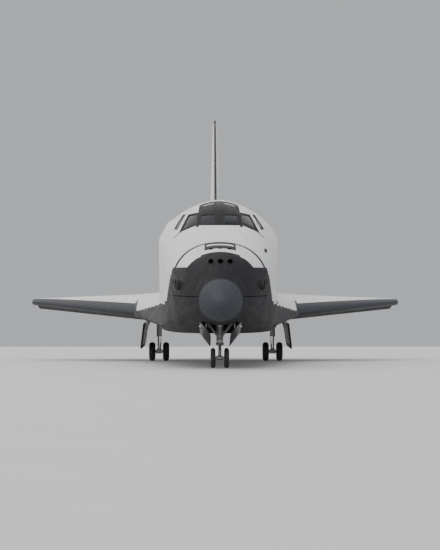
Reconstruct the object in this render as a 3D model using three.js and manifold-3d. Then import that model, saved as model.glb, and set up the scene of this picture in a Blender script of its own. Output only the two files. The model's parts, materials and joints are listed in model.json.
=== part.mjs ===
// A space shuttle orbiter, parked on its landing gear with the gear doors open.
// Places are the orbiter's own stations in inches: x to port of the middle, y aft, z up.
// Each mesh is turned to millimetres, and the last group sets the wheels on level ground, nose to -Y.
import * as THREE from "three";
import { mergeVertices } from "three/addons/utils/BufferGeometryUtils.js";
import Module from "manifold-3d";

const wasm = await Module();
wasm.setup();

const INCH = 25.4;
const DEG = Math.PI / 180;
const SEAT = 0.016; // between pieces that touch, about 0.4 mm
const RUN = 0.8; // between surfaces that move past each other

// Driving dimensions.
const NOSE_TIP = 238;
const NOSE_TIP_Z = 333;
const NOSE_CAP_END = 266;
const CABIN_END = 582;
const BAY_END = 1307;
const BODY_END = 1500;
const GROUND_SLOPE = 0.069;
const GROUND_Z_AT_1650 = 137;
const SKIN = 5; // thickness of the cabin's walls and of the bay doors
const SILL_Z = 421;

// Solids from three.js geometries.

function solid(geometry, frame) {
  const bare = geometry.index ? geometry.toNonIndexed() : geometry.clone();
  bare.deleteAttribute("normal");
  bare.deleteAttribute("uv");
  if (frame) bare.applyMatrix4(frame);
  const merged = mergeVertices(bare, 1e-4);
  const index = merged.index.array;
  const triangles = [];
  for (let i = 0; i < index.length; i += 3) {
    const [a, b, c] = index.slice(i, i + 3);
    if (a !== b && b !== c && c !== a) triangles.push([a, b, c]);
  }
  const build = (order) =>
    new wasm.Manifold(
      new wasm.Mesh({
        numProp: 3,
        vertProperties: merged.attributes.position.array,
        triVerts: new Uint32Array(triangles.flatMap(order)),
      }),
    );
  const made = build((t) => t);
  return made.volume() > 0 ? made : build(([a, b, c]) => [a, c, b]);
}

function join(...solids) {
  return solids.reduce((all, next) => all.add(next));
}

function cut(body, ...tools) {
  return tools.reduce((rest, tool) => rest.subtract(tool), body);
}

const mirrored = (body) => body.mirror([1, 0, 0]);

// Faces that differ from one plane by less than a fraction of a seat are made one.
const plain = (body) => body.asOriginal().simplify(SEAT / 5);

// A closed solid through rings with equal numbers of points. The second half of each ring is split
// the other way, so that a ring that is the same to both sides gives faces that are too.
function loft(rings, frame) {
  const count = rings[0].length;
  const last = (rings.length - 1) * count;
  const faces = [];
  for (let start = 0; start < last; start += count) {
    for (let i = 0; i < count; i++) {
      const a = start + i;
      const b = start + ((i + 1) % count);
      if (i < count / 2) faces.push(a, b, b + count, a, b + count, a + count);
      else faces.push(a, b, a + count, b, b + count, a + count);
    }
  }
  for (let i = 1; i + 1 < count; i++) {
    faces.push(0, i + 1, i, last, last + i, last + i + 1);
  }
  const geometry = new THREE.BufferGeometry();
  geometry.setAttribute("position", new THREE.Float32BufferAttribute(rings.flat(2), 3));
  geometry.setIndex(faces);
  return solid(geometry, frame);
}

function block([x0, x1], [y0, y1], [z0, z1], frame) {
  const geometry = new THREE.BoxGeometry(x1 - x0, y1 - y0, z1 - z0);
  geometry.translate((x0 + x1) / 2, (y0 + y1) / 2, (z0 + z1) / 2);
  return solid(geometry, frame);
}

// A turned solid: a profile of [radius, distance] from a point along a direction.
function turned(profile, from, along, sides = 24, frame = undefined) {
  const geometry = new THREE.LatheGeometry(profile.map(([r, t]) => new THREE.Vector2(r, t)), sides);
  const direction = new THREE.Vector3(...along).normalize();
  geometry.applyQuaternion(new THREE.Quaternion().setFromUnitVectors(new THREE.Vector3(0, 1, 0), direction));
  geometry.translate(...from);
  return solid(geometry, frame);
}

// A round bar between two points.
function bar(from, to, radius, farRadius = radius, sides = 12, frame = undefined) {
  const start = new THREE.Vector3(...from);
  const along = new THREE.Vector3(...to).sub(start);
  const length = along.length();
  const profile = [[0, 0], [radius, 0], [farRadius, length], [0, length]];
  return turned(profile, from, along.toArray(), sides, frame);
}

// An outline extruded between two places: "side" is [y, z] along x, "front" is [x, z] along y
// and "plan" is [x, y] along z.
const VIEWS = {
  side: new THREE.Matrix4().set(0, 0, 1, 0, 1, 0, 0, 0, 0, 1, 0, 0, 0, 0, 0, 1),
  front: new THREE.Matrix4().set(1, 0, 0, 0, 0, 0, 1, 0, 0, 1, 0, 0, 0, 0, 0, 1),
  plan: new THREE.Matrix4(),
};
function plate(view, outline, [from, to], frame) {
  const shape = new THREE.Shape(outline.map(([u, v]) => new THREE.Vector2(u, v)));
  const geometry = new THREE.ExtrudeGeometry(shape, { depth: to - from, bevelEnabled: false });
  geometry.translate(0, 0, from);
  geometry.applyMatrix4(VIEWS[view]);
  return solid(geometry, frame);
}

// The frame of a hinge: its own x along the axis, y away from the fixed piece, z across.
function hingeFrame(origin, axis, away) {
  const x = new THREE.Vector3(...axis).normalize();
  const z = x.clone().cross(new THREE.Vector3(...away)).normalize();
  const y = z.clone().cross(x);
  return new THREE.Matrix4().makeBasis(x, y, z).setPosition(...origin);
}

// A hinge knuckle at a place along the axis: the moving piece gets the slot and then the pin, the
// fixed piece gets the lug and then the bore. Reach is how far the fixed piece is from the axis.
const KNUCKLE = { width: 3, ring: 2.6, pin: 1, sides: 10, arm: [-1.6, 1.6], rest: 0 };
function knuckle(frame, at, reach, sizes = KNUCKLE) {
  const { width, ring, pin, sides, arm, rest = 0 } = sizes;
  const half = width / 2;
  const turnedFrame = (angle) => frame.clone().multiply(new THREE.Matrix4().makeRotationX(angle));
  const across = (end, radius, place) =>
    bar([at - end, 0, 0], [at + end, 0, 0], radius, radius, sides, place);
  const slot = [[at - half - RUN, at + half + RUN], [-reach - 2, ring + 1], [-reach - 2, reach + 2]];
  return {
    slot: block(...slot, turnedFrame(rest)),
    pin: across(half + 2, pin, frame),
    lug: join(across(half, ring, frame), block([at - half, at + half], [-reach - 3, 0], arm, frame)),
    bore: across(half + 1, (pin + SEAT) / Math.cos(Math.PI / sides), turnedFrame(Math.PI / sides)),
  };
}

// Fuselage sections. Columns: y, bottom, half width low down and its height, half width high up
// and its height, top, and how square the low and the high corners are (2 is an ellipse).
const BODY_SECTIONS = [
  [266, 302, 33.5, 332, 33.5, 335, 367.5, 2, 2],
  [290, 296, 46, 324, 47, 341, 395, 2.2, 2.05],
  [320, 289, 58.5, 317, 61, 349, 411, 2.4, 2.15],
  [355, 283.5, 71, 311, 73, 357, 421.5, 2.8, 2.2],
  [378, 281, 76.5, 308, 78, 362, 427.5, 3, 2.2],
  [400, 279, 82, 305, 82.5, 367, 437, 3.2, 2.2],
  [431, 277, 88, 301, 88.5, 375, 449, 3.5, 2.15],
  [446, 276, 90.5, 300, 91, 380, 461, 3.6, 2.05],
  [462, 275, 93, 299, 93.5, 386, 473, 3.7, 1.95],
  [482, 274, 95.5, 298, 96.5, 394, 485, 3.8, 1.85],
  [505, 273, 98, 296, 99.5, 404, 494, 3.9, 1.8],
  [540, 271, 101.5, 294, 103.5, 418, 503, 4.1, 1.72],
  [582, 269, 104.5, 292, 107, 431, 508, 4.5, 1.65],
  [700, 267, 104.5, 292, 107, 431, 508, 4.5, 1.65],
  [1307, 267, 104.5, 292, 107, 431, 508, 4.5, 1.65],
  [1387, 269, 108, 293, 109, 431, 506, 4.5, 1.65],
  [1500, 275, 112, 298, 111, 431, 503, 4.5, 1.65],
  [1512, 276, 112, 299, 111, 431, 503, 4.5, 1.65],
];
const NOSE_CAP_STEPS = [0, 1, 4, 9, 16, 24];
const LOW_STEPS = 5;
const HIGH_STEPS = 8;

function bodySection(y) {
  const first = BODY_SECTIONS[0];
  if (y < first[0]) {
    const swell = Math.sqrt(Math.max(y - NOSE_TIP, 0) / (NOSE_CAP_END - NOSE_TIP));
    const height = (z) => NOSE_TIP_Z + (z - NOSE_TIP_Z) * swell;
    const [, bottom, low, lowZ, high, highZ, top, lowPower, highPower] = first;
    return [y, height(bottom), low * swell, height(lowZ), high * swell, height(highZ), height(top),
      lowPower, highPower];
  }
  const next = Math.max(1, BODY_SECTIONS.findIndex((row) => row[0] >= y));
  const [before, after] = [BODY_SECTIONS[next - 1], BODY_SECTIONS[next]];
  const share = (y - before[0]) / (after[0] - before[0]);
  return before.map((value, i) => value + (after[i] - value) * share);
}

function bodyRing(y, inset = 0) {
  const [, bottom, low, lowZ, high, highZ, top, lowPower, highPower] = bodySection(y);
  const corner = (steps, i, width, height, power) => {
    const turn = (i / steps) * (Math.PI / 2);
    return [width * Math.cos(turn) ** (2 / power), height * Math.sin(turn) ** (2 / power)];
  };
  const half = [];
  for (let i = LOW_STEPS; i >= 0; i--) {
    const [x, drop] = corner(LOW_STEPS, i, low - inset, lowZ - bottom - inset, lowPower);
    half.push([i === LOW_STEPS ? 0 : x, y, lowZ - drop]);
  }
  for (let i = 0; i <= HIGH_STEPS; i++) {
    const [x, rise] = corner(HIGH_STEPS, i, high - inset, top - highZ - inset, highPower);
    half.push([i === HIGH_STEPS ? 0 : x, y, highZ + rise]);
  }
  const other = half.slice(1, -1).map(([x, , z]) => [-x, y, z]);
  return [...half, ...other.reverse()];
}

function bodySolid(from, to, inset = 0) {
  const between = BODY_SECTIONS.map(([y]) => y).filter((y) => y > from && y < to);
  const nose = NOSE_CAP_STEPS.map((step) => NOSE_TIP + step).filter((y) => y > from && y < to);
  return loft([from, ...nose, ...between, to].map((y) => bodyRing(y, inset)));
}

// The station where the forward fuselage's skin passes through a point of the front view.
function skinStation(x, z) {
  let near = NOSE_CAP_END;
  let far = CABIN_END;
  for (let i = 0; i < 40; i++) {
    const y = (near + far) / 2;
    const [, , , , high, highZ, top, , power] = bodySection(y);
    const inside = (Math.abs(x) / high) ** power + ((z - highZ) / (top - highZ)) ** power < 1;
    if (inside) far = y;
    else near = y;
  }
  return far;
}

// A prism through the skin over an outline given in the front view, for a window and its pane,
// grown in its own plane by a margin.
function skinPrism(outline, margin) {
  const depth = 14;
  const corners = outline.map(([x, z]) => new THREE.Vector3(x, skinStation(x, z), z));
  const normal = corners[2].clone().sub(corners[0]).cross(corners[3].clone().sub(corners[1])).normalize();
  const middle = new THREE.Vector3();
  corners.forEach((corner) => middle.addScaledVector(corner, 1 / corners.length));
  const ring = (along) =>
    corners.map((corner) => {
      const outward = corner.clone().sub(middle).normalize();
      return corner.clone().addScaledVector(outward, margin).addScaledVector(normal, along).toArray();
    });
  return loft([ring(-depth), ring(depth)]);
}

// Crew cabin and nose.

const FLOOR_Z = { middeck: 327, flightDeck: 410, flightDeckTop: 414 };
const CABIN = { middeckFront: 418, flightDeckFront: 436, wallFront: 571, wallBack: 577 };
const THRUSTER_MODULE = { end: 367, bottom: 340 };
const NOSE_WELL = { half: 31, front: 284.5, back: 399, roof: 330 };
const HATCH = { y: 515, z: 345, radius: 20, hole: 20.6, windowRadius: 5.5 };
const FAR = 200;

// Windshield panes on the port side, as corners [x, z] in the front view: inner foot, outer foot,
// outer head, inner head.
const PANES = [
  [[8, 455], [31, 455], [31, 474], [8, 475]],
  [[37, 458], [63.5, 447], [51.5, 475], [37, 477]],
  [[71.5, 449.5], [76, 451.5], [62, 477.5], [58, 478]],
];
const PANE_FIT = 0.3;
const OVERHEAD_PANE = { x: [7, 29], y: [512, 538] };
const DECK_HATCH = { x: [22, 48], y: [541, 567] };
const REAR_WINDOW = { x: [8, 28], z: [452, 466] };

function makeNoseCap() {
  return bodySolid(NOSE_TIP, NOSE_CAP_END - SEAT);
}

// Tall thruster ports on each side: y and z of the middle, half the length and half the height.
const SIDE_PORTS = [
  [325.6, 356.6, 5.2, 9.4],
  [342.5, 357.9, 4.2, 8.8],
  [355, 361, 2.4, 4.8],
  [355, 376, 2, 2.6],
];

// Thruster ports: the mouth, its direction and its radius; a tall one is that many times as high as long.
const PORTS = [
  ...[-14.5, 0, 14.5].map((x) => ({ at: [x, 275, 395], into: [0, 1, -0.15], radius: 5.1, depth: 32 })),
  ...[-14, 0, 14].map((x) => ({ at: [x, 324, 425], into: [0, 0.25, -1], radius: 4.2, depth: 26 })),
  ...SIDE_PORTS.flatMap(([y, z, radius, high]) =>
    [-1, 1].map((side) => {
      return { at: [side * 80, y, z], into: [-side, 0, 0], radius, depth: 30, tall: high / radius };
    }),
  ),
];
function makeThrusterModule() {
  const space = block([-FAR, FAR], [NOSE_CAP_END, THRUSTER_MODULE.end], [THRUSTER_MODULE.bottom, FAR + 400]);
  const ports = PORTS.map(({ at, into, radius, depth, tall = 1 }) => {
    const end = new THREE.Vector3(...into).normalize().multiplyScalar(depth).toArray();
    return bar([0, 0, 0], end, radius, radius * 0.7, 12).scale([1, 1, tall]).translate(at);
  });
  return cut(bodySolid(NOSE_CAP_END + SEAT, THRUSTER_MODULE.end).intersect(space), ...ports);
}

function hatchPlug(radius, depth) {
  return bar([FAR, HATCH.y, HATCH.z], [depth, HATCH.y, HATCH.z], radius, radius, 32);
}

function makeForwardFuselage() {
  const middeck = block([-FAR, FAR], [CABIN.middeckFront, CABIN_END + 1],
    [FLOOR_Z.middeck, FLOOR_Z.flightDeckTop]);
  const flightDeck = block([-FAR, FAR], [CABIN.flightDeckFront, CABIN_END + 1], [FLOOR_Z.flightDeck, 600]);
  const cabin = bodySolid(CABIN.middeckFront - 1, CABIN_END + 1, SKIN).intersect(join(middeck, flightDeck));
  const moduleSpace = block([-FAR, FAR], [NOSE_TIP, THRUSTER_MODULE.end + SEAT],
    [THRUSTER_MODULE.bottom - SEAT, 600]);
  const noseWell = block([-NOSE_WELL.half, NOSE_WELL.half], [NOSE_WELL.front, NOSE_WELL.back],
    [200, NOSE_WELL.roof]);
  const windows = PANES.map((outline) => skinPrism(outline, PANE_FIT));
  const [x, y] = [OVERHEAD_PANE.x, OVERHEAD_PANE.y];
  const overhead = block([x[0] - 0.3, x[1] + 0.3], [y[0] - 0.3, y[1] + 0.3], [470, 520]);
  const openings = [...windows, overhead].flatMap((opening) => [opening, mirrored(opening)]);
  const shell = bodySolid(NOSE_CAP_END + SEAT, CABIN_END - SEAT);
  return cut(shell, cabin, moduleSpace, noseWell, ...openings, hatchPlug(HATCH.hole, 80));
}

// Panes are flush plates a little under the skin, in a frame that laps their inner edges.
function makeWindshield() {
  const band = bodySolid(CABIN.flightDeckFront - 10, CABIN_END - 20, 1.2);
  const glass = band.subtract(bodySolid(CABIN.flightDeckFront - 12, CABIN_END - 18, 2.6));
  return PANES.map((outline) => glass.intersect(skinPrism(outline, PANE_FIT - 2 * SEAT)));
}

function makeOverheadWindow() {
  const [x, y] = [OVERHEAD_PANE.x, OVERHEAD_PANE.y];
  const margin = 0.3 - SEAT;
  const hole = block([x[0] - margin, x[1] + margin], [y[0] - margin, y[1] + margin], [470, 520]);
  return bodySolid(500, 550, 1.2).subtract(bodySolid(499, 551, 2.6)).intersect(hole);
}

const INSIDE_CABIN = () => bodySolid(CABIN.middeckFront, CABIN_END, SKIN + SEAT);

// Floor with the opening down to the middeck, instrument panel, centre console and the two front
// seats, all carried by the floor.
function makeFlightDeck() {
  const [floor, top] = [FLOOR_Z.flightDeck, FLOOR_Z.flightDeckTop];
  const pieces = [
    block([-FAR, FAR], [CABIN.flightDeckFront + SEAT, CABIN.wallFront - SEAT], [floor + SEAT, top]),
    plate("side", [[444, top - 1], [466, top - 1], [466, 430], [452, 449], [444, 449]], [-58, 58]),
    block([-8, 8], [465, 490], [top - 1, 432]),
  ];
  const seat = [[484, top - 1], [502, top - 1], [508, 462], [503, 463], [499, 432], [481, 429], [481, 425],
    [484, 425]];
  for (const x of [-25, 25]) pieces.push(plate("side", seat, [x - 9, x + 9]));
  const down = block(DECK_HATCH.x, DECK_HATCH.y, [floor - 1, top + 1]);
  return cut(join(...pieces).intersect(INSIDE_CABIN()), down);
}

function makeCabinRearWall() {
  const [x, z] = [REAR_WINDOW.x, REAR_WINDOW.z];
  const wall = block([-FAR, FAR], [CABIN.wallFront, CABIN.wallBack], [FLOOR_Z.middeck + SEAT, 600]);
  const window = block(x, [CABIN.wallFront - 1, CABIN.wallBack + 1], z);
  return cut(wall.intersect(INSIDE_CABIN()), window, mirrored(window));
}

function makeRearWindowGlass() {
  const margin = 2;
  const [x, z] = [REAR_WINDOW.x[1] + margin, REAR_WINDOW.z];
  return block([-x, x], [CABIN.wallFront - 1.4, CABIN.wallFront - SEAT], [z[0] - margin, z[1] + margin]);
}

const hatchBar = (radius) => bar([80, HATCH.y, HATCH.z], [120, HATCH.y, HATCH.z], radius, radius, 20);
const HATCH_HINGE = { x: 101.6, z: HATCH.z - HATCH.radius - 1.2, pin: 0.8, lugs: [-9, 9], half: 12 };

function makeSideHatch() {
  const inside = bodySolid(CABIN.middeckFront - 1, CABIN_END + 1, SKIN);
  const wall = bodySolid(CABIN.middeckFront, CABIN_END).subtract(inside);
  const window = hatchBar(HATCH.windowRadius);
  const { x, z, pin, half } = HATCH_HINGE;
  const arm = block([x - 4.4, x + 0.6], [HATCH.y - 4, HATCH.y + 4], [z - 0.5, z + 5]);
  const pinBar = bar([x, HATCH.y - half, z], [x, HATCH.y + half, z], pin, pin, 16);
  return join(cut(wall.intersect(hatchPlug(HATCH.radius, 80)), window), arm, pinBar);
}

function makeHatchWindow() {
  const pane = bodySolid(490, 540, 1).subtract(bodySolid(489, 541, 2.4));
  return pane.intersect(hatchBar(HATCH.windowRadius - SEAT));
}

// The fixed half of the hatch's hinge: a pocket in the skin under the hatch, and two ringed lugs.
function withHatchHinge(fuselage) {
  const { x, z, pin, lugs } = HATCH_HINGE;
  const pocket = block([x - 5.2, x + 5], [HATCH.y - 5, HATCH.y + 5], [z - 1.4, z + 4]);
  const bore = (pin + SEAT) / Math.cos(Math.PI / 16);
  const made = lugs.map((place) => {
    const y = HATCH.y + place;
    const ring = bar([x, y - 1, z], [x, y + 1, z], 1.7, 1.7, 16);
    return join(ring, block([x - 4, x], [y - 1, y + 1], [z - 5, z]));
  });
  const boreFrame = new THREE.Matrix4().makeTranslation(x, 0, z);
  boreFrame.multiply(new THREE.Matrix4().makeRotationY(Math.PI / 16));
  const hole = bar([0, HATCH.y - 14, 0], [0, HATCH.y + 14, 0], bore, bore, 16, boreFrame);
  return cut(join(cut(fuselage, pocket), ...made), hole);
}

// Payload bay, its doors and radiators.

const TROUGH = [[-93, 440], [-93, 350], [-84, 322], [-62, 308], [62, 308], [84, 322], [93, 350], [93, 440]];
const FRAME_DEPTH = 3;
const FRAME_COUNT = 9;
const FRAME_WIDTH = 4;
const DOOR = { gap: 0.25, bottom: SILL_Z + 0.3, hingeX: 106.9, endGap: 0.6 };
const DOOR_HINGES = [650, 850, 1050, 1250];
const DOOR_KNUCKLE = { width: 3, ring: 1.9, pin: 0.8, sides: 10, arm: [-0.9, 0.1] };
const DOOR_FRAME = hingeFrame([DOOR.hingeX, 0, SILL_Z], [0, 1, 0], [0, 0, 1]);
const DOOR_REACH = 4;

function makeMidFuselage() {
  const above = block([-FAR, FAR], [CABIN_END - 1, BAY_END + 1], [SILL_Z, 600]);
  const narrow = TROUGH.map(([x, z]) => [x * (1 - FRAME_DEPTH / 93), Math.max(z, 308 + FRAME_DEPTH)]);
  const trough = [plate("front", narrow, [CABIN_END - 1, BAY_END + 1])];
  const pitch = (BAY_END - CABIN_END) / (FRAME_COUNT + 1);
  for (let i = 0; i <= FRAME_COUNT; i++) {
    const start = CABIN_END + i * pitch + (i ? FRAME_WIDTH / 2 : -1);
    const end = CABIN_END + (i + 1) * pitch - (i < FRAME_COUNT ? FRAME_WIDTH / 2 : -1);
    trough.push(plate("front", TROUGH, [start, end]));
  }
  const groove = bar([DOOR.hingeX, CABIN_END, SILL_Z], [DOOR.hingeX, BAY_END, SILL_Z], 1.2, 1.2, 16);
  let body = cut(bodySolid(CABIN_END, BAY_END - SEAT), above, ...trough, groove, mirrored(groove));
  for (const y of DOOR_HINGES) {
    const { lug, bore } = knuckle(DOOR_FRAME, y, DOOR_REACH, DOOR_KNUCKLE);
    body = cut(join(body, lug, mirrored(lug)), bore, mirrored(bore));
  }
  return body;
}

function bayDoorSpace(inner, outer, bottom, ends) {
  const [from, to] = [CABIN_END + ends, BAY_END - ends];
  const shell = bodySolid(from, to, outer).subtract(bodySolid(from - 1, to + 1, inner));
  return shell.intersect(block([DOOR.gap, FAR], [from, to], [bottom, 600]));
}

function makeBayDoor() {
  let door = bayDoorSpace(SKIN, 0, DOOR.bottom, DOOR.endGap);
  for (const y of DOOR_HINGES) {
    const { slot, pin } = knuckle(DOOR_FRAME, y, DOOR_REACH, DOOR_KNUCKLE);
    door = join(cut(door, slot), pin);
  }
  return door;
}

const RADIATOR = { thickness: 1.6, bottom: 434, inner: 8, ends: 20 };
function makeRadiator() {
  const lining = bayDoorSpace(SKIN + RADIATOR.thickness, SKIN + SEAT, RADIATOR.bottom, RADIATOR.ends);
  return cut(lining, block([-1, RADIATOR.inner], [CABIN_END, BAY_END], [400, 600]));
}

// Aft fuselage, body flap and engines.

const ENGINE_ROOM = { half: 84, front: 1441, z: [306, 486] };
const FLAP = { y: 1532, z: 287, radius: 9, chord: 81, half: 108, lugs: [-80, 0, 80] };
const FLAP_FRAME = hingeFrame([0, FLAP.y, FLAP.z], [1, 0, 0], [0, 1, 0]);
const FLAP_SHELF = { half: 111, top: 299, bottom: 277.5 };

// A trailing surface round its hinge line: a round nose and flat sides to a thin trailing edge.
function surfaceRing(at, radius, chord, rest) {
  const edge = 0.8;
  const points = [];
  for (let i = 0; i <= 8; i++) {
    const angle = 90 * DEG + (i / 8) * 180 * DEG;
    points.push([radius * Math.cos(angle), radius * Math.sin(angle)]);
  }
  points.push([chord, -edge], [chord, edge]);
  return points.map(([y, z]) => [
    at,
    y * Math.cos(rest) - z * Math.sin(rest),
    y * Math.sin(rest) + z * Math.cos(rest),
  ]);
}

function withMovingKnuckles(surface, frame, places, reach, sizes) {
  return places.reduce((made, at) => {
    const { slot, pin } = knuckle(frame, at, reach(at), sizes);
    return join(cut(made, slot), pin);
  }, surface);
}

function withFixedKnuckles(body, frame, places, reach, sizes) {
  return places.reduce((made, at) => {
    const { lug, bore } = knuckle(frame, at, reach(at), sizes);
    return cut(join(made, lug), bore);
  }, body);
}

function makeBodyFlap() {
  const { half, radius, chord } = FLAP;
  const flap = loft([surfaceRing(-half, radius, chord, 0), surfaceRing(half, radius, chord, 0)], FLAP_FRAME);
  return withMovingKnuckles(flap, FLAP_FRAME, FLAP.lugs, () => FLAP.radius, KNUCKLE);
}

function makeAftFuselage() {
  const { half, front, z } = ENGINE_ROOM;
  const room = block([-half, half], [front, BODY_END + 1], z);
  const shelfEnd = FLAP.y - 0.75 * FLAP.radius;
  const shelf = block([-FLAP_SHELF.half, FLAP_SHELF.half], [BODY_END - 10, shelfEnd],
    [FLAP_SHELF.bottom, FLAP_SHELF.top]);
  const cove = FLAP.radius + RUN;
  const coveBar = bar([-FAR, FLAP.y, FLAP.z], [FAR, FLAP.y, FLAP.z], cove, cove, 24);
  const body = cut(join(cut(bodySolid(BAY_END, BODY_END), room), shelf), coveBar);
  return withFixedKnuckles(body, FLAP_FRAME, FLAP.lugs, () => FLAP.radius, KNUCKLE);
}

// Engine shape as [radius, distance from the gimbal along the engine]: stub, engine block, bell.
const ENGINE_BLOCK = [[9, -42], [9, 8], [26, 8], [26, 44], [10, 46], [10, 52]];
const BELL_OUTSIDE = [[18, 61], [27, 77], [36, 101], [42.5, 128], [46.6, 160], [48, 161], [48, 168]];
const BELL_WALL = 1.7;
const BELL_THROAT = 5;
const ENGINE_SIDES = 24;
const UPPER_DOME = [[0, 58], [40, 58], [40, 78], [39, 88], [37, 96], [0, 96]];
const LOWER_DOME = [[0, 33], [41, 33], [41, 55], [39, 65], [34, 73], [30, 76], [0, 76]];
const ENGINES = [
  { name: "main_engine_upper", gimbal: [0, 1445, 443], pitch: 16, yaw: 0, dome: UPPER_DOME },
  { name: "main_engine_left", gimbal: [53, 1468, 342.6], pitch: 10, yaw: 3.5, dome: LOWER_DOME },
  { name: "main_engine_right", gimbal: [-53, 1468, 342.6], pitch: 10, yaw: -3.5, dome: LOWER_DOME },
];

function engineDirection({ pitch, yaw }) {
  return [Math.sin(yaw * DEG), Math.cos(yaw * DEG) * Math.cos(pitch * DEG), Math.sin(pitch * DEG)];
}

function engineOutside(engine, grown) {
  const outside = [...ENGINE_BLOCK, ...BELL_OUTSIDE].map(([r, t]) => [r + grown, t]);
  const ends = [[0, ENGINE_BLOCK[0][1]], ...outside, [0, BELL_OUTSIDE.at(-1)[1]]];
  return turned(ends, engine.gimbal, engineDirection(engine), ENGINE_SIDES);
}

function makeEngine(engine) {
  const inside = BELL_OUTSIDE.filter(([r]) => r !== 48).map(([r, t]) => [r - BELL_WALL, t]);
  const profile = [[0, 53], [BELL_THROAT, 53], ...inside, [45.4, 169], [0, 169]];
  const hollow = turned(profile, engine.gimbal, engineDirection(engine), ENGINE_SIDES);
  const inFront = block([-FAR, FAR], [1300, ENGINE_ROOM.front + SEAT], [200, 600]);
  return cut(engineOutside(engine, 0), hollow, inFront);
}

const SHIELD = { end: 1511, bottom: FLAP_SHELF.top + SEAT };
function makeHeatShield() {
  const below = block([-FAR, FAR], [BODY_END - 1, SHIELD.end + 1], [200, SHIELD.bottom]);
  const wall = cut(bodySolid(BODY_END + SEAT, SHIELD.end), below);
  const inFront = block([-FAR, FAR], [1400, BODY_END + SEAT], [200, 600]);
  const domes = ENGINES.map((engine) =>
    cut(turned(engine.dome, engine.gimbal, engineDirection(engine), ENGINE_SIDES), inFront),
  );
  return cut(join(wall, ...domes), ...ENGINES.map((engine) => engineOutside(engine, SEAT)));
}

// Pod sections on the port side. Columns: y, middle x and z, half width, half height.
const POD_SECTIONS = [
  [1309, 72, 470, 18, 14],
  [1330, 76, 472, 34, 31],
  [1360, 80, 475, 44, 42],
  [1410, 85, 479, 51, 49],
  [1480, 87, 481, 52, 50],
  [1540, 88, 483, 49, 46],
  [1567, 88, 484, 45, 42],
];
const POD_POWER = 2.5;
const POD_SIDES = 20;
const POD_INNER = 53;
const STINGER = { x: [112, 134], y: [1500, 1592], z: [454, 487] };

function podRing([y, middle, height, halfWidth, halfHeight]) {
  const power = 2 / POD_POWER;
  return Array.from({ length: POD_SIDES }, (_, i) => {
    const angle = (i / POD_SIDES) * 2 * Math.PI;
    const [c, s] = [Math.cos(angle), Math.sin(angle)];
    return [
      middle + halfWidth * Math.sign(c) * Math.abs(c) ** power,
      y,
      height + halfHeight * Math.sign(s) * Math.abs(s) ** power,
    ];
  });
}

function makePod() {
  const inner = block([0, POD_INNER], [BODY_END, 1600], [400, 560]);
  const ports = [1548, 1562, 1576].map((y) => bar([150, y, 471], [127, y, 471], 4.4, 3.4, 12));
  const rearPort = bar([123, 1600, 471], [123, 1586, 471], 4.4, 3.4, 12);
  const body = join(loft(POD_SECTIONS.map(podRing)), block(STINGER.x, STINGER.y, STINGER.z));
  return cut(body, inner, bodySolid(BAY_END - 20, 1511.9, -SEAT), ...ports, rearPort);
}

const POD_NOZZLE = {
  origin: [86, 1560, 486],
  pitch: 15.8,
  yaw: 6.5,
  outside: [[7, -4], [7, 8], [5.5, 12], [10, 21], [16, 34], [20.5, 54]],
};
function makePodNozzle() {
  const { origin, outside } = POD_NOZZLE;
  const wall = 1;
  const inside = outside.slice(2).map(([r, t]) => [r - wall, t]);
  const profile = [[0, outside[0][1]], ...outside, ...inside.reverse(), [0, 13]];
  const whole = turned(profile, origin, engineDirection(POD_NOZZLE), 18);
  return cut(whole, block([0, FAR], [1500, POD_SECTIONS.at(-1)[0] + SEAT], [400, 560]));
}

// Fin, rudder shaft and the two halves of the rudder, which open as the speed brake.

const FIN = { rootZ: 503, tipZ: 816, capTop: 818.7, foot: 521, rudder: [600, 796], tube: 3 };
function finAt(z) {
  const up = z - FIN.rootZ;
  const [hinge, back] = [1441 + 0.6933 * up, 1548.5 + 0.4888 * up];
  return { front: 1280 + up, hinge, back, half: 14.75 - 0.02796 * up };
}
const RUDDER_BASE = FIN.rudder[0];
const RUDDER_AXIS = [0, 0.6933, 1];
const RUDDER_RISE = 1 / Math.hypot(...RUDDER_AXIS);
const RUDDER_LENGTH = (FIN.rudder[1] - RUDDER_BASE) / RUDDER_RISE;
const RUDDER_FRAME = hingeFrame([0, finAt(RUDDER_BASE).hinge, RUDDER_BASE], RUDDER_AXIS, [0, 1, 0]);
const RUDDER_SPACE = [-RUN, RUDDER_LENGTH + RUN];
const RUDDER_TUBE = [-12, RUDDER_LENGTH + 7];
const rudderHalf = (at) => finAt(RUDDER_BASE + at * RUDDER_RISE).half;

// The chord behind the hinge, square to it, where it meets the trailing edge's line.
function rudderChord(at) {
  const z = RUDDER_BASE + at * RUDDER_RISE;
  const { hinge, back } = finAt(z);
  const [aft, down] = [RUDDER_RISE, RUDDER_RISE * RUDDER_AXIS[1]];
  return (back - hinge) / (aft + down * 0.4888);
}

function finRing(z, thin = 1) {
  const { front, hinge, back, half } = finAt(z);
  const middle = front + 0.45 * (hinge - front);
  const side = [[0.8, front + 0.6], [2, front + 4], [half * 0.62, middle], [half, hinge], [0.8, back]];
  const port = side.map(([x, y]) => [x * thin, y, z]);
  return [[0, front, z], ...port, ...port.map(([x, y]) => [-x, y, z]).reverse()];
}

function rudderTube(radius, turnedBy, [from, to]) {
  const frame = RUDDER_FRAME.clone().multiply(new THREE.Matrix4().makeRotationX(turnedBy));
  return bar([from, 0, 0], [to, 0, 0], radius, radius, 16, frame);
}
const RUDDER_BORE = (FIN.tube + SEAT) / Math.cos(Math.PI / 16);

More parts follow.
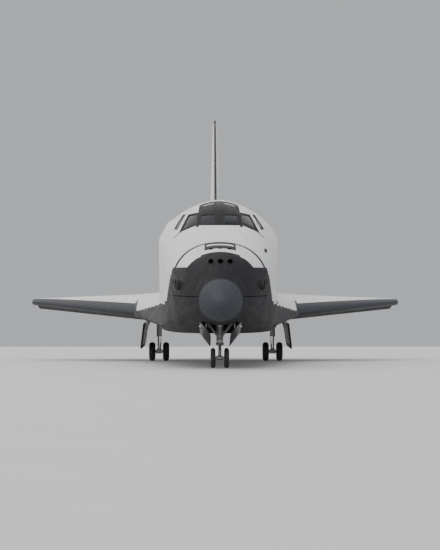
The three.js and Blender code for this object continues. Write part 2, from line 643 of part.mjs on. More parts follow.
// The fin's box and cap, with the rudder's space behind the hinge line, square to it at both ends.
function makeFin() {
  const top = [finRing(FIN.tipZ - 3), finRing(FIN.tipZ, 0.9), finRing(FIN.capTop, 0.4)];
  const fin = loft([finRing(486), ...top]);
  const behind = loft(
    RUDDER_SPACE.map((at) => {
      const [front, back, side] = [-0.85 * rudderHalf(at), 130, 30];
      return [[at, front, -side], [at, back, -side], [at, back, side], [at, front, side]];
    }),
    RUDDER_FRAME,
  );
  const cove = loft(
    RUDDER_SPACE.map((at) => {
      const radius = rudderHalf(at) + RUN;
      return Array.from({ length: 24 }, (_, i) => {
        const angle = (i / 24) * 2 * Math.PI;
        return [at, radius * Math.cos(angle), radius * Math.sin(angle)];
      });
    }),
    RUDDER_FRAME,
  );
  const bore = rudderTube(RUDDER_BORE, Math.PI / 16, [RUDDER_TUBE[0] - SEAT, RUDDER_TUBE[1] + SEAT]);
  const overhang = block([-30, 30], [BODY_END - 3, 1730], [400, FIN.foot]);
  return cut(fin, behind, cove, bore, overhang, bodySolid(1260, BODY_END, -SEAT));
}

const makeRudderShaft = () => rudderTube(FIN.tube, 0, RUDDER_TUBE);

// One half, with a round nose that turns in the fin's cove and stops short of the other half's.
function makeRudderHalf() {
  const [edge, gap, noseEnd, noseSteps] = [0.8, 0.2, 0.66, 3];
  const panel = loft(
    [0, RUDDER_LENGTH].map((at) => {
      const nose = Array.from({ length: noseSteps + 1 }, (_, i) => {
        const angle = (noseEnd * i) / noseSteps;
        return [at, -rudderHalf(at) * Math.sin(angle), rudderHalf(at) * Math.cos(angle)];
      });
      return [[at, 0, gap], [at, rudderChord(at), gap], [at, rudderChord(at), edge], ...nose];
    }),
    RUDDER_FRAME,
  );
  return cut(panel, rudderTube(RUDDER_BORE, Math.PI / 16, RUDDER_SPACE));
}

// Wings, leading edges and elevons, port side.

const HINGE_Y = 1387;
const SPAN = { glove: 95, root: 126, kink: 185, split: 312, tip: 452, end: 468.3 };
const DIHEDRAL = 0.0612;
const hingeZ = (x) => 283.5 + (x - SPAN.root) * DIHEDRAL;
const hingeRadius = (x) => 13 - (x - SPAN.root) * (9 / 342);
const trailingY = (x) => 1506 - (x - 105) * (64 / 363);
// Columns: x, leading edge y and z, rise above and drop below the chord line, bluntness.
const WING_SECTIONS = [
  [SPAN.glove, 469, 287, 56, 17.5, 1],
  [SPAN.kink, 1021, 290, 40, 15, 0.55],
  [SPAN.tip, 1288, 305.8, 11.7, 7, 0.5],
];
const WING_STEPS = [0.008, 0.03, 0.07, 0.14, 0.26, 0.42, 0.58, 0.74, 0.88, 1];

function wingRing([x, y, z, rise, drop, blunt], thin = 1, back = 0) {
  const radius = hingeRadius(x);
  const height = (v, most) =>
    v < 0.5
      ? most * (1 - (1 - 2 * v) ** 2) ** blunt
      : radius + (most - radius) * (1 - ((v - 0.5) / 0.5) ** 1.8);
  const front = y + back;
  const place = (v, offset) => [x, front + v * (HINGE_Y - front), z + v * (hingeZ(x) - z) + offset * thin];
  const upper = WING_STEPS.map((v) => place(v, height(v, rise)));
  const lower = WING_STEPS.map((v) => place(v, -height(v, drop))).reverse();
  const trailing = [0.8, -0.8].map((edge) => [x, trailingY(x), hingeZ(x) + edge]);
  return [place(0, 0), ...upper, ...trailing, ...lower];
}

// The tip's front corner is round in plan, and its end a little thinner.
const TIP = { steps: [0.45, 0.75, 0.93, 1], round: 24, thinner: 0.25 };
function wholeWing() {
  const [x, y, ...section] = WING_SECTIONS.at(-1);
  const corner = TIP.steps.map((share) => {
    const across = share * (SPAN.end - x);
    const back = TIP.round * (1 - Math.sqrt(1 - share ** 2));
    return wingRing([x + across, y + across, ...section], 1 - TIP.thinner * share ** 3, back);
  });
  return loft([...WING_SECTIONS.map((row) => wingRing(row)), ...corner]);
}

const ELEVON_REST = -18 * DEG;
const ELEVON_FRAME = hingeFrame([SPAN.root, HINGE_Y, hingeZ(SPAN.root)], [1, 0, DIHEDRAL], [0, 1, 0]);
const ELEVONS = [
  { name: "inner", from: 127.5, to: SPAN.split - 0.6, lugs: [165, 275] },
  { name: "outer", from: SPAN.split + 0.6, to: 467, lugs: [345, 430] },
];
const alongHinge = (x) => (x - SPAN.root) * Math.hypot(1, DIHEDRAL);
const elevonReach = (at) => hingeRadius(SPAN.root + at);
const ELEVON_KNUCKLE = { ...KNUCKLE, rest: ELEVON_REST };

function makeElevon({ from, to, lugs }) {
  const ring = (x) => surfaceRing(alongHinge(x), hingeRadius(x), trailingY(x) - HINGE_Y, ELEVON_REST);
  const surface = loft([ring(from), ring(to)], ELEVON_FRAME);
  return withMovingKnuckles(surface, ELEVON_FRAME, lugs.map(alongHinge), elevonReach, ELEVON_KNUCKLE);
}

const LEADING_EDGE = { root: 176, depth: 31 };
function leadingEdgeSpace(gap) {
  const { root, depth } = LEADING_EDGE;
  const backAt = (x) => 1021 + (x - SPAN.kink) + depth + gap;
  return plate("plan", [[root - gap, 900], [500, 900], [500, backAt(500)], [root - gap, backAt(root - gap)]],
    [240, 340]);
}

const makeLeadingEdge = () => wholeWing().intersect(leadingEdgeSpace(0));

const MAIN_WELL = { x: [109, 163], y: [1058, 1196], roof: 312 };
function makeWing() {
  const wellSpace = block(MAIN_WELL.x, MAIN_WELL.y, [200, MAIN_WELL.roof]);
  const [inner, outer] = [SPAN.root, 480];
  const coveFront = (x) => [x, HINGE_Y - 0.75 * hingeRadius(x)];
  const outline = [coveFront(inner), coveFront(outer), [outer, 1700], [inner, 1700]];
  const behind = plate("plan", outline, [200, 400]);
  const cove = loft(
    [inner + 0.7, outer].map((x) => {
      const radius = hingeRadius(x) + RUN;
      return Array.from({ length: 24 }, (_, i) => {
        const angle = (i / 24) * 2 * Math.PI;
        return [alongHinge(x), radius * Math.cos(angle), radius * Math.sin(angle)];
      });
    }),
    ELEVON_FRAME,
  );
  const shelf = block([0, FLAP_SHELF.half + SEAT], [BODY_END - 12, 1600], [200, FLAP_SHELF.top + 1]);
  const fuselage = bodySolid(400, 1511.9, -SEAT);
  const wing = cut(wholeWing(), leadingEdgeSpace(SEAT), behind, cove, wellSpace, fuselage, shelf);
  const lugs = ELEVONS.flatMap((elevon) => elevon.lugs).map(alongHinge);
  return withFixedKnuckles(wing, ELEVON_FRAME, lugs, elevonReach, ELEVON_KNUCKLE);
}

// Landing gear. A gear's frame starts where its wheels touch the ground: x to port, y aft along the
// ground, z straight up from it.

const GROUND_ANGLE = Math.atan(GROUND_SLOPE);
const groundZ = (y) => GROUND_Z_AT_1650 + GROUND_SLOPE * (1650 - y);
function gearFrame(x, y) {
  const frame = new THREE.Matrix4().makeRotationX(-GROUND_ANGLE);
  return frame.setPosition(x, y, groundZ(y));
}
const MAIN_GEAR = { x: 136, y: 1172, track: 16.5, tyre: 22.25, width: 16, rim: 11, axle: 2.4 };
const NOSE_GEAR = { x: 0, y: 377, track: 10.8, tyre: 16, width: 8.7, rim: 7.5, axle: 1.6 };
const MAIN_FRAME = gearFrame(MAIN_GEAR.x, MAIN_GEAR.y);
const NOSE_FRAME = gearFrame(NOSE_GEAR.x, NOSE_GEAR.y);
const WHEEL_SIDES = 20;
const FLAT = 1 / Math.cos(Math.PI / WHEEL_SIDES);

// A wheel's place, turned so that it stands on one of its flats.
function wheelFrame(gear, frame) {
  const place = frame.clone().multiply(new THREE.Matrix4().makeTranslation(0, 0, gear.tyre));
  return place.multiply(new THREE.Matrix4().makeRotationX(Math.PI / WHEEL_SIDES));
}

function tyre(gear, frame, side) {
  const { tyre: radius, width, rim, track } = gear;
  const half = width / 2;
  const [wall, tread] = [radius - rim, radius];
  const profile = [
    [rim, -0.8 * half],
    [rim + 0.3 * wall, -half],
    [rim + 0.62 * wall, -half],
    [rim + 0.88 * wall, -0.8 * half],
    [tread, -0.42 * half],
  ];
  const rounded = [...profile, ...profile.map(([r, t]) => [r, -t]).reverse(), profile[0]];
  const sized = rounded.map(([r, t]) => [r * FLAT, t]);
  return turned(sized, [side * track, 0, 0], [1, 0, 0], WHEEL_SIDES, wheelFrame(gear, frame));
}

// Axle and the two hubs, turned in one piece.
function hubs(gear, frame) {
  const { width, rim, track, axle } = gear;
  const [inner, outer] = [track - width * 0.42, track + width * 0.42];
  const edge = (rim - SEAT) * FLAT;
  const half = [
    [axle, inner - 0.8],
    [axle * 1.7, inner - 0.8],
    [edge, inner + 0.4],
    [edge, outer],
    [edge - 1.6, track + width * 0.18],
    [axle * 1.9, track + width * 0.1],
    [axle * 1.6, outer - 0.4],
    [0, outer - 0.4],
  ];
  const mirroredHalf = half.map(([r, t]) => [r, -t]).reverse();
  return turned([...mirroredHalf, ...half], [0, 0, 0], [1, 0, 0], WHEEL_SIDES, wheelFrame(gear, frame));
}

function axleBore(gear, frame, half) {
  const bore = (gear.axle + SEAT) * FLAT;
  return bar([-half, 0, gear.tyre], [half, 0, gear.tyre], bore, bore, WHEEL_SIDES, frame);
}

// Main leg: axle housing, piston, cylinder, trunnion across the well, drag brace and torque links.
const MAIN_LEG = { trunnion: 128, brace: [-95, 122], reach: 27 - SEAT, housing: 7.6 };
function makeMainLeg() {
  const { trunnion, brace, reach, housing } = MAIN_LEG;
  const axle = MAIN_GEAR.tyre;
  const rod = (from, to, radius, sides = 8) => bar(from, to, radius, radius, sides, MAIN_FRAME);
  const leg = join(
    rod([-housing, 0, axle], [housing, 0, axle], 5.2, 12),
    rod([0, 0, axle], [0, 0, 62], 4, 12),
    rod([0, 0, 57], [0, 0, trunnion + 4], 6.5, 12),
    rod([-reach, 0, trunnion], [reach, 0, trunnion], 4.5),
    rod([-reach, brace[0], brace[1]], [reach, brace[0], brace[1]], 3),
    rod([0, -2, 78], [0, -48, 104], 3.2),
    rod([0, -48, 104], [14, ...brace], 2.6),
    rod([0, -48, 104], [-14, ...brace], 2.6),
    rod([0, -48, 104], [0, -2, 122], 2),
    rod([0, 0, 98], [22, 0, trunnion], 2.6),
    rod([0, 0, 98], [-22, 0, trunnion], 2.6),
    rod([0, 4, 29], [0, 18, 45], 1.8),
    rod([0, 18, 45], [0, 6, 62], 1.8),
    rod([-3, 18, 45], [3, 18, 45], 2.2),
  );
  return cut(leg, axleBore(MAIN_GEAR, MAIN_FRAME, 12));
}

// Nose leg, which stays put, and the steered piston with its collar and torque links.
const NOSE_LEG = { foot: 34, trunnion: 80, cylinder: 4.5, piston: 2.6, brace: [-62, 84], reach: 31 - SEAT };
const NOSE_COLLAR = { foot: 35.5, top: 41.5, radius: 6.4 };
function noseRod(from, to, radius, sides = 8, turnedBy = 0) {
  const frame = NOSE_FRAME.clone().multiply(new THREE.Matrix4().makeRotationZ(turnedBy));
  return bar(from, to, radius, radius, sides, frame);
}
function makeNoseLeg() {
  const { foot, trunnion, cylinder, piston, brace, reach } = NOSE_LEG;
  const bore = (piston + SEAT) / Math.cos(Math.PI / 16);
  const leg = join(
    noseRod([0, 0, foot], [0, 0, trunnion + 3], cylinder, 16),
    noseRod([0, 0, 42.2], [0, 0, 47], 5.6, 16),
    noseRod([-reach, 0, trunnion], [reach, 0, trunnion], 3),
    noseRod([0, 0, 45], [27, 0, trunnion], 2.2),
    noseRod([0, 0, 45], [-27, 0, trunnion], 2.2),
    noseRod([-reach, ...brace], [reach, ...brace], 2.4),
    noseRod([0, -3, 52], [0, -34, 67], 2.4),
    noseRod([0, -34, 67], [16, ...brace], 2),
    noseRod([0, -34, 67], [-16, ...brace], 2),
  );
  return cut(leg, noseRod([0, 0, foot - 1], [0, 0, 58], bore, 16, Math.PI / 16));
}
function makeNoseSteering() {
  const { foot, top, radius } = NOSE_COLLAR;
  const { cylinder, piston } = NOSE_LEG;
  const axle = NOSE_GEAR.tyre;
  const collarBore = (cylinder + SEAT) / Math.cos(Math.PI / 16);
  const collar = cut(
    noseRod([0, 0, foot], [0, 0, top], radius, 16),
    noseRod([0, 0, foot - 1], [0, 0, top + 1], collarBore, 16, Math.PI / 16),
  );
  const steered = join(
    collar,
    noseRod([-5.4, 0, axle], [5.4, 0, axle], 3.4, 16),
    noseRod([0, 0, axle], [0, 0, 57.5], piston, 16),
    noseRod([0, -2, axle + 2], [0, -15, 27], 1.4),
    noseRod([0, -15, 27], [0, -5.6, 38], 1.4),
    noseRod([-2.4, -15, 27], [2.4, -15, 27], 1.7),
  );
  return cut(steered, axleBore(NOSE_GEAR, NOSE_FRAME, 8));
}

// Gear doors, port side, hanging open on goose-neck arms from the wells' side walls.

function bellyZ(x, y) {
  const [, bottom, low, lowZ, , , , power] = bodySection(y);
  return lowZ - (lowZ - bottom) * (1 - (x / low) ** power) ** (1 / power);
}
const NOSE_DOOR = { stations: [286, 303, 328, 398], arms: [302, 386], inward: 17, drop: 21, thickness: 1.8 };
function makeNoseDoor() {
  const { stations, arms, inward, drop, thickness } = NOSE_DOOR;
  const hinge = NOSE_WELL.half + 0.6;
  const wall = NOSE_WELL.half - SEAT;
  const ring = (y) => {
    const top = bellyZ(hinge + thickness, y);
    const foot = top - drop;
    return [[hinge, y, top + 1], [hinge + thickness, y, top + 1], [hinge + thickness - inward, y, foot],
      [hinge - inward, y, foot]];
  };
  const made = arms.map((y) => {
    const top = bellyZ(hinge, y) - 0.8;
    const neck = [[hinge - 4, top - 3], [hinge + 0.8, top - 3], [hinge + 0.8, top - 1.2], [wall, top - 0.6],
      [wall, top + 12], [hinge - 4, top + 12]];
    return plate("front", neck, [y - 2, y + 2]);
  });
  return join(cut(loft(stations.map(ring)), bodySolid(276, 410, -SEAT)), ...made);
}

const MAIN_DOOR = {
  y: [1062, 1192],
  hinge: 163.6,
  top: 264,
  foot: 206,
  thickness: 3.6,
  outward: 7,
  arms: [1085, 1170],
};
function makeMainDoor() {
  const { y, hinge, top, foot, thickness, outward, arms } = MAIN_DOOR;
  const [near, far] = [hinge + outward, hinge + outward + thickness];
  const section = [[hinge, top], [hinge + thickness, top], [far, foot], [near, foot]];
  const wall = MAIN_WELL.x[1] - SEAT;
  const neck = [[wall - 5, top - 6], [hinge + 1.5, top - 6], [hinge + 1.5, top - 1], [wall, top],
    [wall, top + 22], [wall - 5, top + 22]];
  const made = arms.map((place) => plate("front", neck, [place - 2.5, place + 2.5]));
  return join(plate("front", section, y), ...made);
}

// The assembly.

const finish = (color, roughness, metalness = 0) => ({ color, roughness, metalness });
const WHITE_TILE = finish(0xd9dcdf, 0.75);
const BLACK_TILE = finish(0x17181b, 0.45);
const CARBON = finish(0x3c3d40, 0.6);
const METAL = finish(0x8f9296, 0.35, 0.9);
const STEEL = finish(0x5f5b58, 0.4, 0.9);
const WHITE_METAL = finish(0xc9ccce, 0.5, 0.2);
const RUBBER = finish(0x151515, 0.9);
const GLASS = finish(0x10141a, 0.1);
const INTERIOR = finish(0x6d7278, 0.7);
const LINER = finish(0xbfc4c2, 0.8);
const RADIATOR_FACE = finish(0xc8ced2, 0.2, 0.7);

const orbiter = new THREE.Group();
orbiter.name = "orbiter";

// Adds a solid as a named mesh; every piece off the middle is built to port and mirrored.
function add(name, body, look) {
  const { vertProperties, triVerts } = plain(body).getMesh();
  const geometry = new THREE.BufferGeometry();
  geometry.setAttribute("position", new THREE.BufferAttribute(new Float32Array(vertProperties), 3));
  geometry.setIndex(new THREE.BufferAttribute(new Uint32Array(triVerts), 1));
  geometry.translate(0, -NOSE_TIP, 0);
  geometry.scale(INCH, INCH, INCH);
  geometry.computeVertexNormals();
  const mesh = new THREE.Mesh(geometry, new THREE.MeshStandardMaterial(look));
  mesh.name = name;
  orbiter.add(mesh);
}
function addPair(name, body, look) {
  add(`${name}_left`, body, look);
  add(`${name}_right`, mirrored(body), look);
}

add("nose_cap", makeNoseCap(), CARBON);
add("forward_thruster_module", makeThrusterModule(), WHITE_TILE);
add("forward_fuselage", withHatchHinge(makeForwardFuselage()), WHITE_TILE);
const PANE_NAMES = ["front", "middle", "side"];
makeWindshield().forEach((pane, i) => addPair(`windshield_pane_${PANE_NAMES[i]}`, pane, GLASS));
addPair("overhead_window", makeOverheadWindow(), GLASS);
add("flight_deck", makeFlightDeck(), INTERIOR);
add("cabin_rear_wall", makeCabinRearWall(), LINER);
add("rear_window_glass", makeRearWindowGlass(), GLASS);
add("side_hatch", makeSideHatch(), WHITE_TILE);
add("hatch_window", makeHatchWindow(), GLASS);
add("mid_fuselage", makeMidFuselage(), WHITE_TILE);
addPair("bay_door", makeBayDoor(), WHITE_TILE);
addPair("radiator", makeRadiator(), RADIATOR_FACE);
add("aft_fuselage", makeAftFuselage(), WHITE_TILE);
add("base_heat_shield", makeHeatShield(), BLACK_TILE);
ENGINES.forEach((engine) => add(engine.name, makeEngine(engine), STEEL));
addPair("engine_pod", makePod(), WHITE_TILE);
addPair("pod_nozzle", makePodNozzle(), STEEL);
add("body_flap", makeBodyFlap(), BLACK_TILE);
add("vertical_fin", makeFin(), WHITE_TILE);
add("rudder_shaft", makeRudderShaft(), METAL);
const rudderHalves = makeRudderHalf();
add("rudder_right", rudderHalves, WHITE_TILE);
add("rudder_left", mirrored(rudderHalves), WHITE_TILE);
addPair("wing", makeWing(), WHITE_TILE);
addPair("wing_leading_edge", makeLeadingEdge(), CARBON);
ELEVONS.forEach((elevon) => addPair(`elevon_${elevon.name}`, makeElevon(elevon), WHITE_TILE));
add("nose_leg", makeNoseLeg(), WHITE_METAL);
add("nose_steering", makeNoseSteering(), METAL);
add("nose_hubs", hubs(NOSE_GEAR, NOSE_FRAME), METAL);
add("nose_tyre_left", tyre(NOSE_GEAR, NOSE_FRAME, 1), RUBBER);
add("nose_tyre_right", tyre(NOSE_GEAR, NOSE_FRAME, -1), RUBBER);
addPair("nose_gear_door", makeNoseDoor(), WHITE_TILE);
addPair("main_leg", makeMainLeg(), WHITE_METAL);
addPair("main_hubs", hubs(MAIN_GEAR, MAIN_FRAME), METAL);
addPair("main_tyre_outer", tyre(MAIN_GEAR, MAIN_FRAME, 1), RUBBER);
addPair("main_tyre_inner", tyre(MAIN_GEAR, MAIN_FRAME, -1), RUBBER);
addPair("main_gear_door", makeMainDoor(), WHITE_TILE);

// Turned so that the ground under the wheels is level, over the middle of its own bounds.
orbiter.rotation.x = GROUND_ANGLE;
orbiter.updateMatrixWorld(true);
const bounds = new THREE.Box3().setFromObject(orbiter, true);
const centre = bounds.getCenter(new THREE.Vector3());
orbiter.position.set(-centre.x, -centre.y, -bounds.min.z);

export default orbiter;
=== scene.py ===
"""A space shuttle orbiter parked on its landing gear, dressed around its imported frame.

Shapes are drawn in the orbiter's own stations, in inches: x to port of the middle, y aft, z up.
PLACE turns them to metres in the part's frame, where the nose points to -Y and the wheels stand on z = 0.
"""

import json
import math

import bmesh
import bpy
import numpy as np
from mathutils import Matrix, Vector


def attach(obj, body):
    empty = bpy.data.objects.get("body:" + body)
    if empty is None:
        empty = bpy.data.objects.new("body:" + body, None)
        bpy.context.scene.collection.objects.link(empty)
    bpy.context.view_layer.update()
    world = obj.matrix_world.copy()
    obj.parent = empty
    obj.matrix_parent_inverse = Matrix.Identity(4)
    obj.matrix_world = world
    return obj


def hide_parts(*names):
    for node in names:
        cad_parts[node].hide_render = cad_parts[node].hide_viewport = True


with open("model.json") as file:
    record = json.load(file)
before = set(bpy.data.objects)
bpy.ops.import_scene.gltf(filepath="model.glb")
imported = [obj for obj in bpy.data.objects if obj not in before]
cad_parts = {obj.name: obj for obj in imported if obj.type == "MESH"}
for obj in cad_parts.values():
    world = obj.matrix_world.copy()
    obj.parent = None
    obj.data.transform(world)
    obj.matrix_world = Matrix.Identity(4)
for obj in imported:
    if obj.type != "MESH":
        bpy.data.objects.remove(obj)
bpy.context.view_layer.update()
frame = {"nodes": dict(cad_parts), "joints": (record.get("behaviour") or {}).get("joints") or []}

INCH = 0.0254
GROUND_SLOPE = 0.069
GROUND_ANGLE = math.atan(GROUND_SLOPE)
FLAP_HINGE = Vector((0, 1532, 287))
NOSE_TIP = 238


def station_frame():
    """Stations to metres in the part's frame, found from where the body flap's hinge lies in both."""
    turn = Matrix.Rotation(GROUND_ANGLE, 4, "X") @ Matrix.Scale(INCH, 4)
    hinge = next(joint["pos_m"] for joint in frame["joints"] if joint["name"] == "body_flap")
    return Matrix.Translation(Vector(hinge) - turn @ FLAP_HINGE) @ turn


PLACE = station_frame()

# Solids. Each is a Blender object in stations until piece() places it.


def added(name, data):
    """A new object in the scene."""
    thing = bpy.data.objects.new(name, data)
    bpy.context.scene.collection.objects.link(thing)
    return thing


def closed(points, faces):
    """A closed mesh whose faces look outwards."""
    mesh = bpy.data.meshes.new("solid")
    mesh.from_pydata([tuple(point) for point in points], [], faces)
    editor = bmesh.new()
    editor.from_mesh(mesh)
    bmesh.ops.recalc_face_normals(editor, faces=editor.faces)
    editor.to_mesh(mesh)
    editor.free()
    return added("solid", mesh)


def loft(rings):
    """A solid through rings with equal numbers of points."""
    count = len(rings[0])
    last = (len(rings) - 1) * count
    faces = []
    for start in range(0, last, count):
        for i in range(count):
            a, b = start + i, start + (i + 1) % count
            faces.append((a, b, b + count, a + count))
    faces.append(tuple(range(count))[::-1])
    faces.append(tuple(range(last, last + count)))
    return closed(np.concatenate(rings), faces)


def block(xs, ys, zs):
    return loft([[(xs[0], y, zs[0]), (xs[1], y, zs[0]), (xs[1], y, zs[1]), (xs[0], y, zs[1])] for y in ys])


def plate(view, outline, span):
    """An outline extruded between two places: "side" is (y, z), "front" is (x, z), "plan" is (x, y)."""
    point = {
        "side": lambda u, v, t: (t, u, v),
        "front": lambda u, v, t: (u, t, v),
        "plan": lambda u, v, t: (u, v, t),
    }[view]
    return loft([[point(u, v, t) for u, v in outline] for t in span])


def turned(profile, origin=(0, 0, 0), along=(0, 0, 1), sides=48, looped=False):
    """A profile of (radius, distance) turned round a line; a looped one makes a ring such as a tyre."""
    turn = Vector(along).normalized().to_track_quat("Z", "Y").to_matrix()
    points, rows = [], []
    for radius, distance in profile:
        angles = [0.0] if radius == 0 else [2 * math.pi * i / sides for i in range(sides)]
        rows.append([len(points) + i for i in range(len(angles))])
        for angle in angles:
            local = Vector((radius * math.cos(angle), radius * math.sin(angle), distance))
            points.append(Vector(origin) + turn @ local)
    faces = []
    pairs = list(zip(rows, rows[1:])) + ([(rows[-1], rows[0])] if looped else [])
    for near, far in pairs:
        for i in range(sides):
            around = ((near, i), (near, i + 1), (far, i + 1), (far, i))
            faces.append(tuple(dict.fromkeys(row[k % len(row)] for row, k in around)))
    return closed(points, [face for face in faces if len(face) > 2])


def rod(start, end, radius, far=None, sides=24):
    """A round bar between two points, with a small chamfer at each end."""
    along = Vector(end) - Vector(start)
    far = radius if far is None else far
    edge = 0.12 * min(radius, far)
    profile = [(0, 0), (radius - edge, 0), (radius, edge), (far, along.length - edge)]
    return turned([*profile, (far - edge, along.length), (0, along.length)], start, along, sides)


def erase(solid):
    mesh = solid.data
    bpy.data.objects.remove(solid)
    bpy.data.meshes.remove(mesh)


def combined(operation, body, tools):
    for tool in tools:
        step = body.modifiers.new("step", "BOOLEAN")
        step.operation, step.object, step.solver = operation, tool, "MANIFOLD"
        shape = body.evaluated_get(bpy.context.evaluated_depsgraph_get())
        made = bpy.data.meshes.new_from_object(shape)
        body.modifiers.clear()
        before = body.data
        body.data = made
        bpy.data.meshes.remove(before)
        erase(tool)
    return body


def cut(body, *tools):
    return combined("DIFFERENCE", body, tools)


def joined(body, *tools):
    return combined("UNION", body, tools)


def common(body, *tools):
    return combined("INTERSECT", body, tools)


def gathered(first, *others):
    """One object from several solids that stay whole."""
    editor = bmesh.new()
    for solid in (first, *others):
        editor.from_mesh(solid.data)
    editor.to_mesh(first.data)
    editor.free()
    for solid in others:
        erase(solid)
    return first


def moved(solid, matrix):
    solid.data.transform(matrix)
    if matrix.determinant() < 0:
        solid.data.flip_normals()
    return solid


def mirrored(solid):
    return moved(added(solid.name, solid.data.copy()), Matrix.Scale(-1, 4, (1, 0, 0)))


def both(solid):
    return gathered(solid, mirrored(solid))


def shade(mesh, material, sharp):
    mesh.materials.clear()
    mesh.materials.append(material)
    mesh.shade_smooth()
    mesh.set_sharp_from_angle(angle=math.radians(sharp))


def piece(name, solid, material, body="airframe", slot="white_tile", replaces=(), sharp=28, rounded=0.0):
    """A finished piece: placed, shaded, given its material, and riding on its body."""
    solid.name = name
    solid.data.name = name
    solid.data.transform(PLACE)
    shade(solid.data, material, sharp)
    if rounded:
        bevel = solid.modifiers.new("edges", "BEVEL")
        bevel.width, bevel.segments, bevel.limit_method = rounded * INCH, 2, "ANGLE"
    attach(solid, body)
    if replaces:
        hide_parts(*replaces)
    return solid


def pair(name, solid, material, body="airframe", replaces=(), **options):
    """A port piece and its mirror image; {} in a name stands for the side."""
    for side, shape in (("right", mirrored(solid)), ("left", solid)):
        nodes = [node.format(side) for node in replaces]
        piece(f"{name}_{side}", shape, material, body.format(side), replaces=nodes, **options)


# Fuselage skin. Columns: y, bottom, half width low down and its height, half width high up and
# its height, top, and how square the low and the high corners are (2 is an ellipse).
BODY_SECTIONS = [
    (266, 302, 33.5, 332, 33.5, 335, 367.5, 2, 2),
    (290, 296, 46, 324, 47, 341, 395, 2.2, 2.05),
    (320, 289, 58.5, 317, 61, 349, 411, 2.4, 2.15),
    (355, 283.5, 71, 311, 73, 357, 421.5, 2.8, 2.2),
    (378, 281, 76.5, 308, 78, 362, 427.5, 3, 2.2),
    (400, 279, 82, 305, 82.5, 367, 437, 3.2, 2.2),
    (431, 277, 88, 301, 88.5, 375, 449, 3.5, 2.15),
    (446, 276, 90.5, 300, 91, 380, 461, 3.6, 2.05),
    (462, 275, 93, 299, 93.5, 386, 473, 3.7, 1.95),
    (482, 274, 95.5, 298, 96.5, 394, 485, 3.8, 1.85),
    (505, 273, 98, 296, 99.5, 404, 494, 3.9, 1.8),
    (540, 271, 101.5, 294, 103.5, 418, 503, 4.1, 1.72),
    (582, 269, 104.5, 292, 107, 431, 508, 4.5, 1.65),
    (700, 267, 104.5, 292, 107, 431, 508, 4.5, 1.65),
    (1307, 267, 104.5, 292, 107, 431, 508, 4.5, 1.65),
    (1387, 269, 108, 293, 109, 431, 506, 4.5, 1.65),
    (1500, 275, 112, 298, 111, 431, 503, 4.5, 1.65),
    (1512, 276, 112, 299, 111, 431, 503, 4.5, 1.65),
]
NOSE_TIP_Z = 333
NOSE_CAP_END = 266
CABIN_END = 582
BAY_END = 1307
BODY_END = 1500
SHIELD_END = 1511
SKIN = 5
SILL_Z = 421
# The gap between pieces that sit together, and the one round a hinge.
SEAT = 0.016
RUN = 0.8
# Cutting blocks reach this far to the side, down and up.
FAR = 200
LOW = 200
HIGH = 600
# Steps in the low and the high quarter of a section.
LOW_STEPS = 12
HIGH_STEPS = 26


def smooth_table(rows):
    """A curve through a table's rows, by its first column, that never overshoots them."""
    table = np.array(rows, float)
    place, values = table[:, 0], table[:, 1:]
    step = np.diff(place)
    slope = np.diff(values, axis=0) / step[:, None]
    bend = np.zeros_like(values)
    bend[0], bend[-1] = slope[0], slope[-1]
    agree = slope[:-1] * slope[1:] > 0
    total = np.where(agree, slope[:-1] + slope[1:], 1)
    bend[1:-1] = np.where(agree, 2 * slope[:-1] * slope[1:] / total, 0)

    def at(where):
        i = int(np.clip(np.searchsorted(place, where, "right") - 1, 0, len(step) - 1))
        t = (where - place[i]) / step[i]
        near, far = (1 + 2 * t) * (1 - t) ** 2, t * t * (3 - 2 * t)
        leave, arrive = t * (1 - t) ** 2 * step[i], t * t * (t - 1) * step[i]
        return near * values[i] + far * values[i + 1] + leave * bend[i] + arrive * bend[i + 1]

    return at


body_row = smooth_table(BODY_SECTIONS)


def body_at(y):
    row = body_row(max(y, NOSE_CAP_END))
    if y >= NOSE_CAP_END:
        return row
    swell = math.sqrt(max(y - NOSE_TIP, 0) / (NOSE_CAP_END - NOSE_TIP))
    bottom, low, low_z, high, high_z, top, low_power, high_power = row
    heights = [NOSE_TIP_Z + (z - NOSE_TIP_Z) * swell for z in (bottom, low_z, high_z, top)]
    return heights[0], low * swell, heights[1], high * swell, heights[2], heights[3], low_power, high_power


def quarter(width, height, power, steps):
    """A quarter of a rounded outline as (across, up), from its side to its top."""
    turn = np.linspace(0, math.pi / 2, steps + 1)
    reach = (np.cos(turn) ** power + np.sin(turn) ** power) ** (-1 / power)
    points = np.stack([width * np.cos(turn) * reach, height * np.sin(turn) * reach], 1)
    points[-1, 0] = 0
    return points


def body_ring(y, inset=0.0):
    bottom, low, low_z, high, high_z, top, low_power, high_power = body_at(y)
    under = quarter(low - inset, low_z - bottom - inset, low_power, LOW_STEPS)
    over = quarter(high - inset, top - high_z - inset, high_power, HIGH_STEPS)
    half = [(x, y, low_z - drop) for x, drop in under[::-1]] + [(x, y, high_z + rise) for x, rise in over]
    return half + [(-x, y, z) for x, y, z in half[-2:0:-1]]


def body_solid(start, end, inset=0.0, pitch=4.0, grooves=(), depth=0.5, half=0.25):
    """The fuselage's outline between two stations, with fine grooves round it for panel joints."""
    stations = [(y, inset) for y in np.linspace(start, end, max(2, int((end - start) / pitch) + 1))]
    if start < NOSE_CAP_END:
        shares = np.linspace(0.04, 1, 26) ** 2
        stations = [(NOSE_TIP + share * (end - NOSE_TIP), inset) for share in shares]
    for place in grooves:
        stations = [row for row in stations if abs(row[0] - place) > 2 * half]
        for offset, extra in ((-half, 0), (0.05 - half, depth), (half - 0.05, depth), (half, 0)):
            stations.append((place + offset, inset + extra))
    return loft([body_ring(y, inward) for y, inward in sorted(stations)])


def shell(start, end, outer, inner, **options):
    return cut(body_solid(start, end, outer, **options), body_solid(start - 1, end + 1, inner, pitch=8))


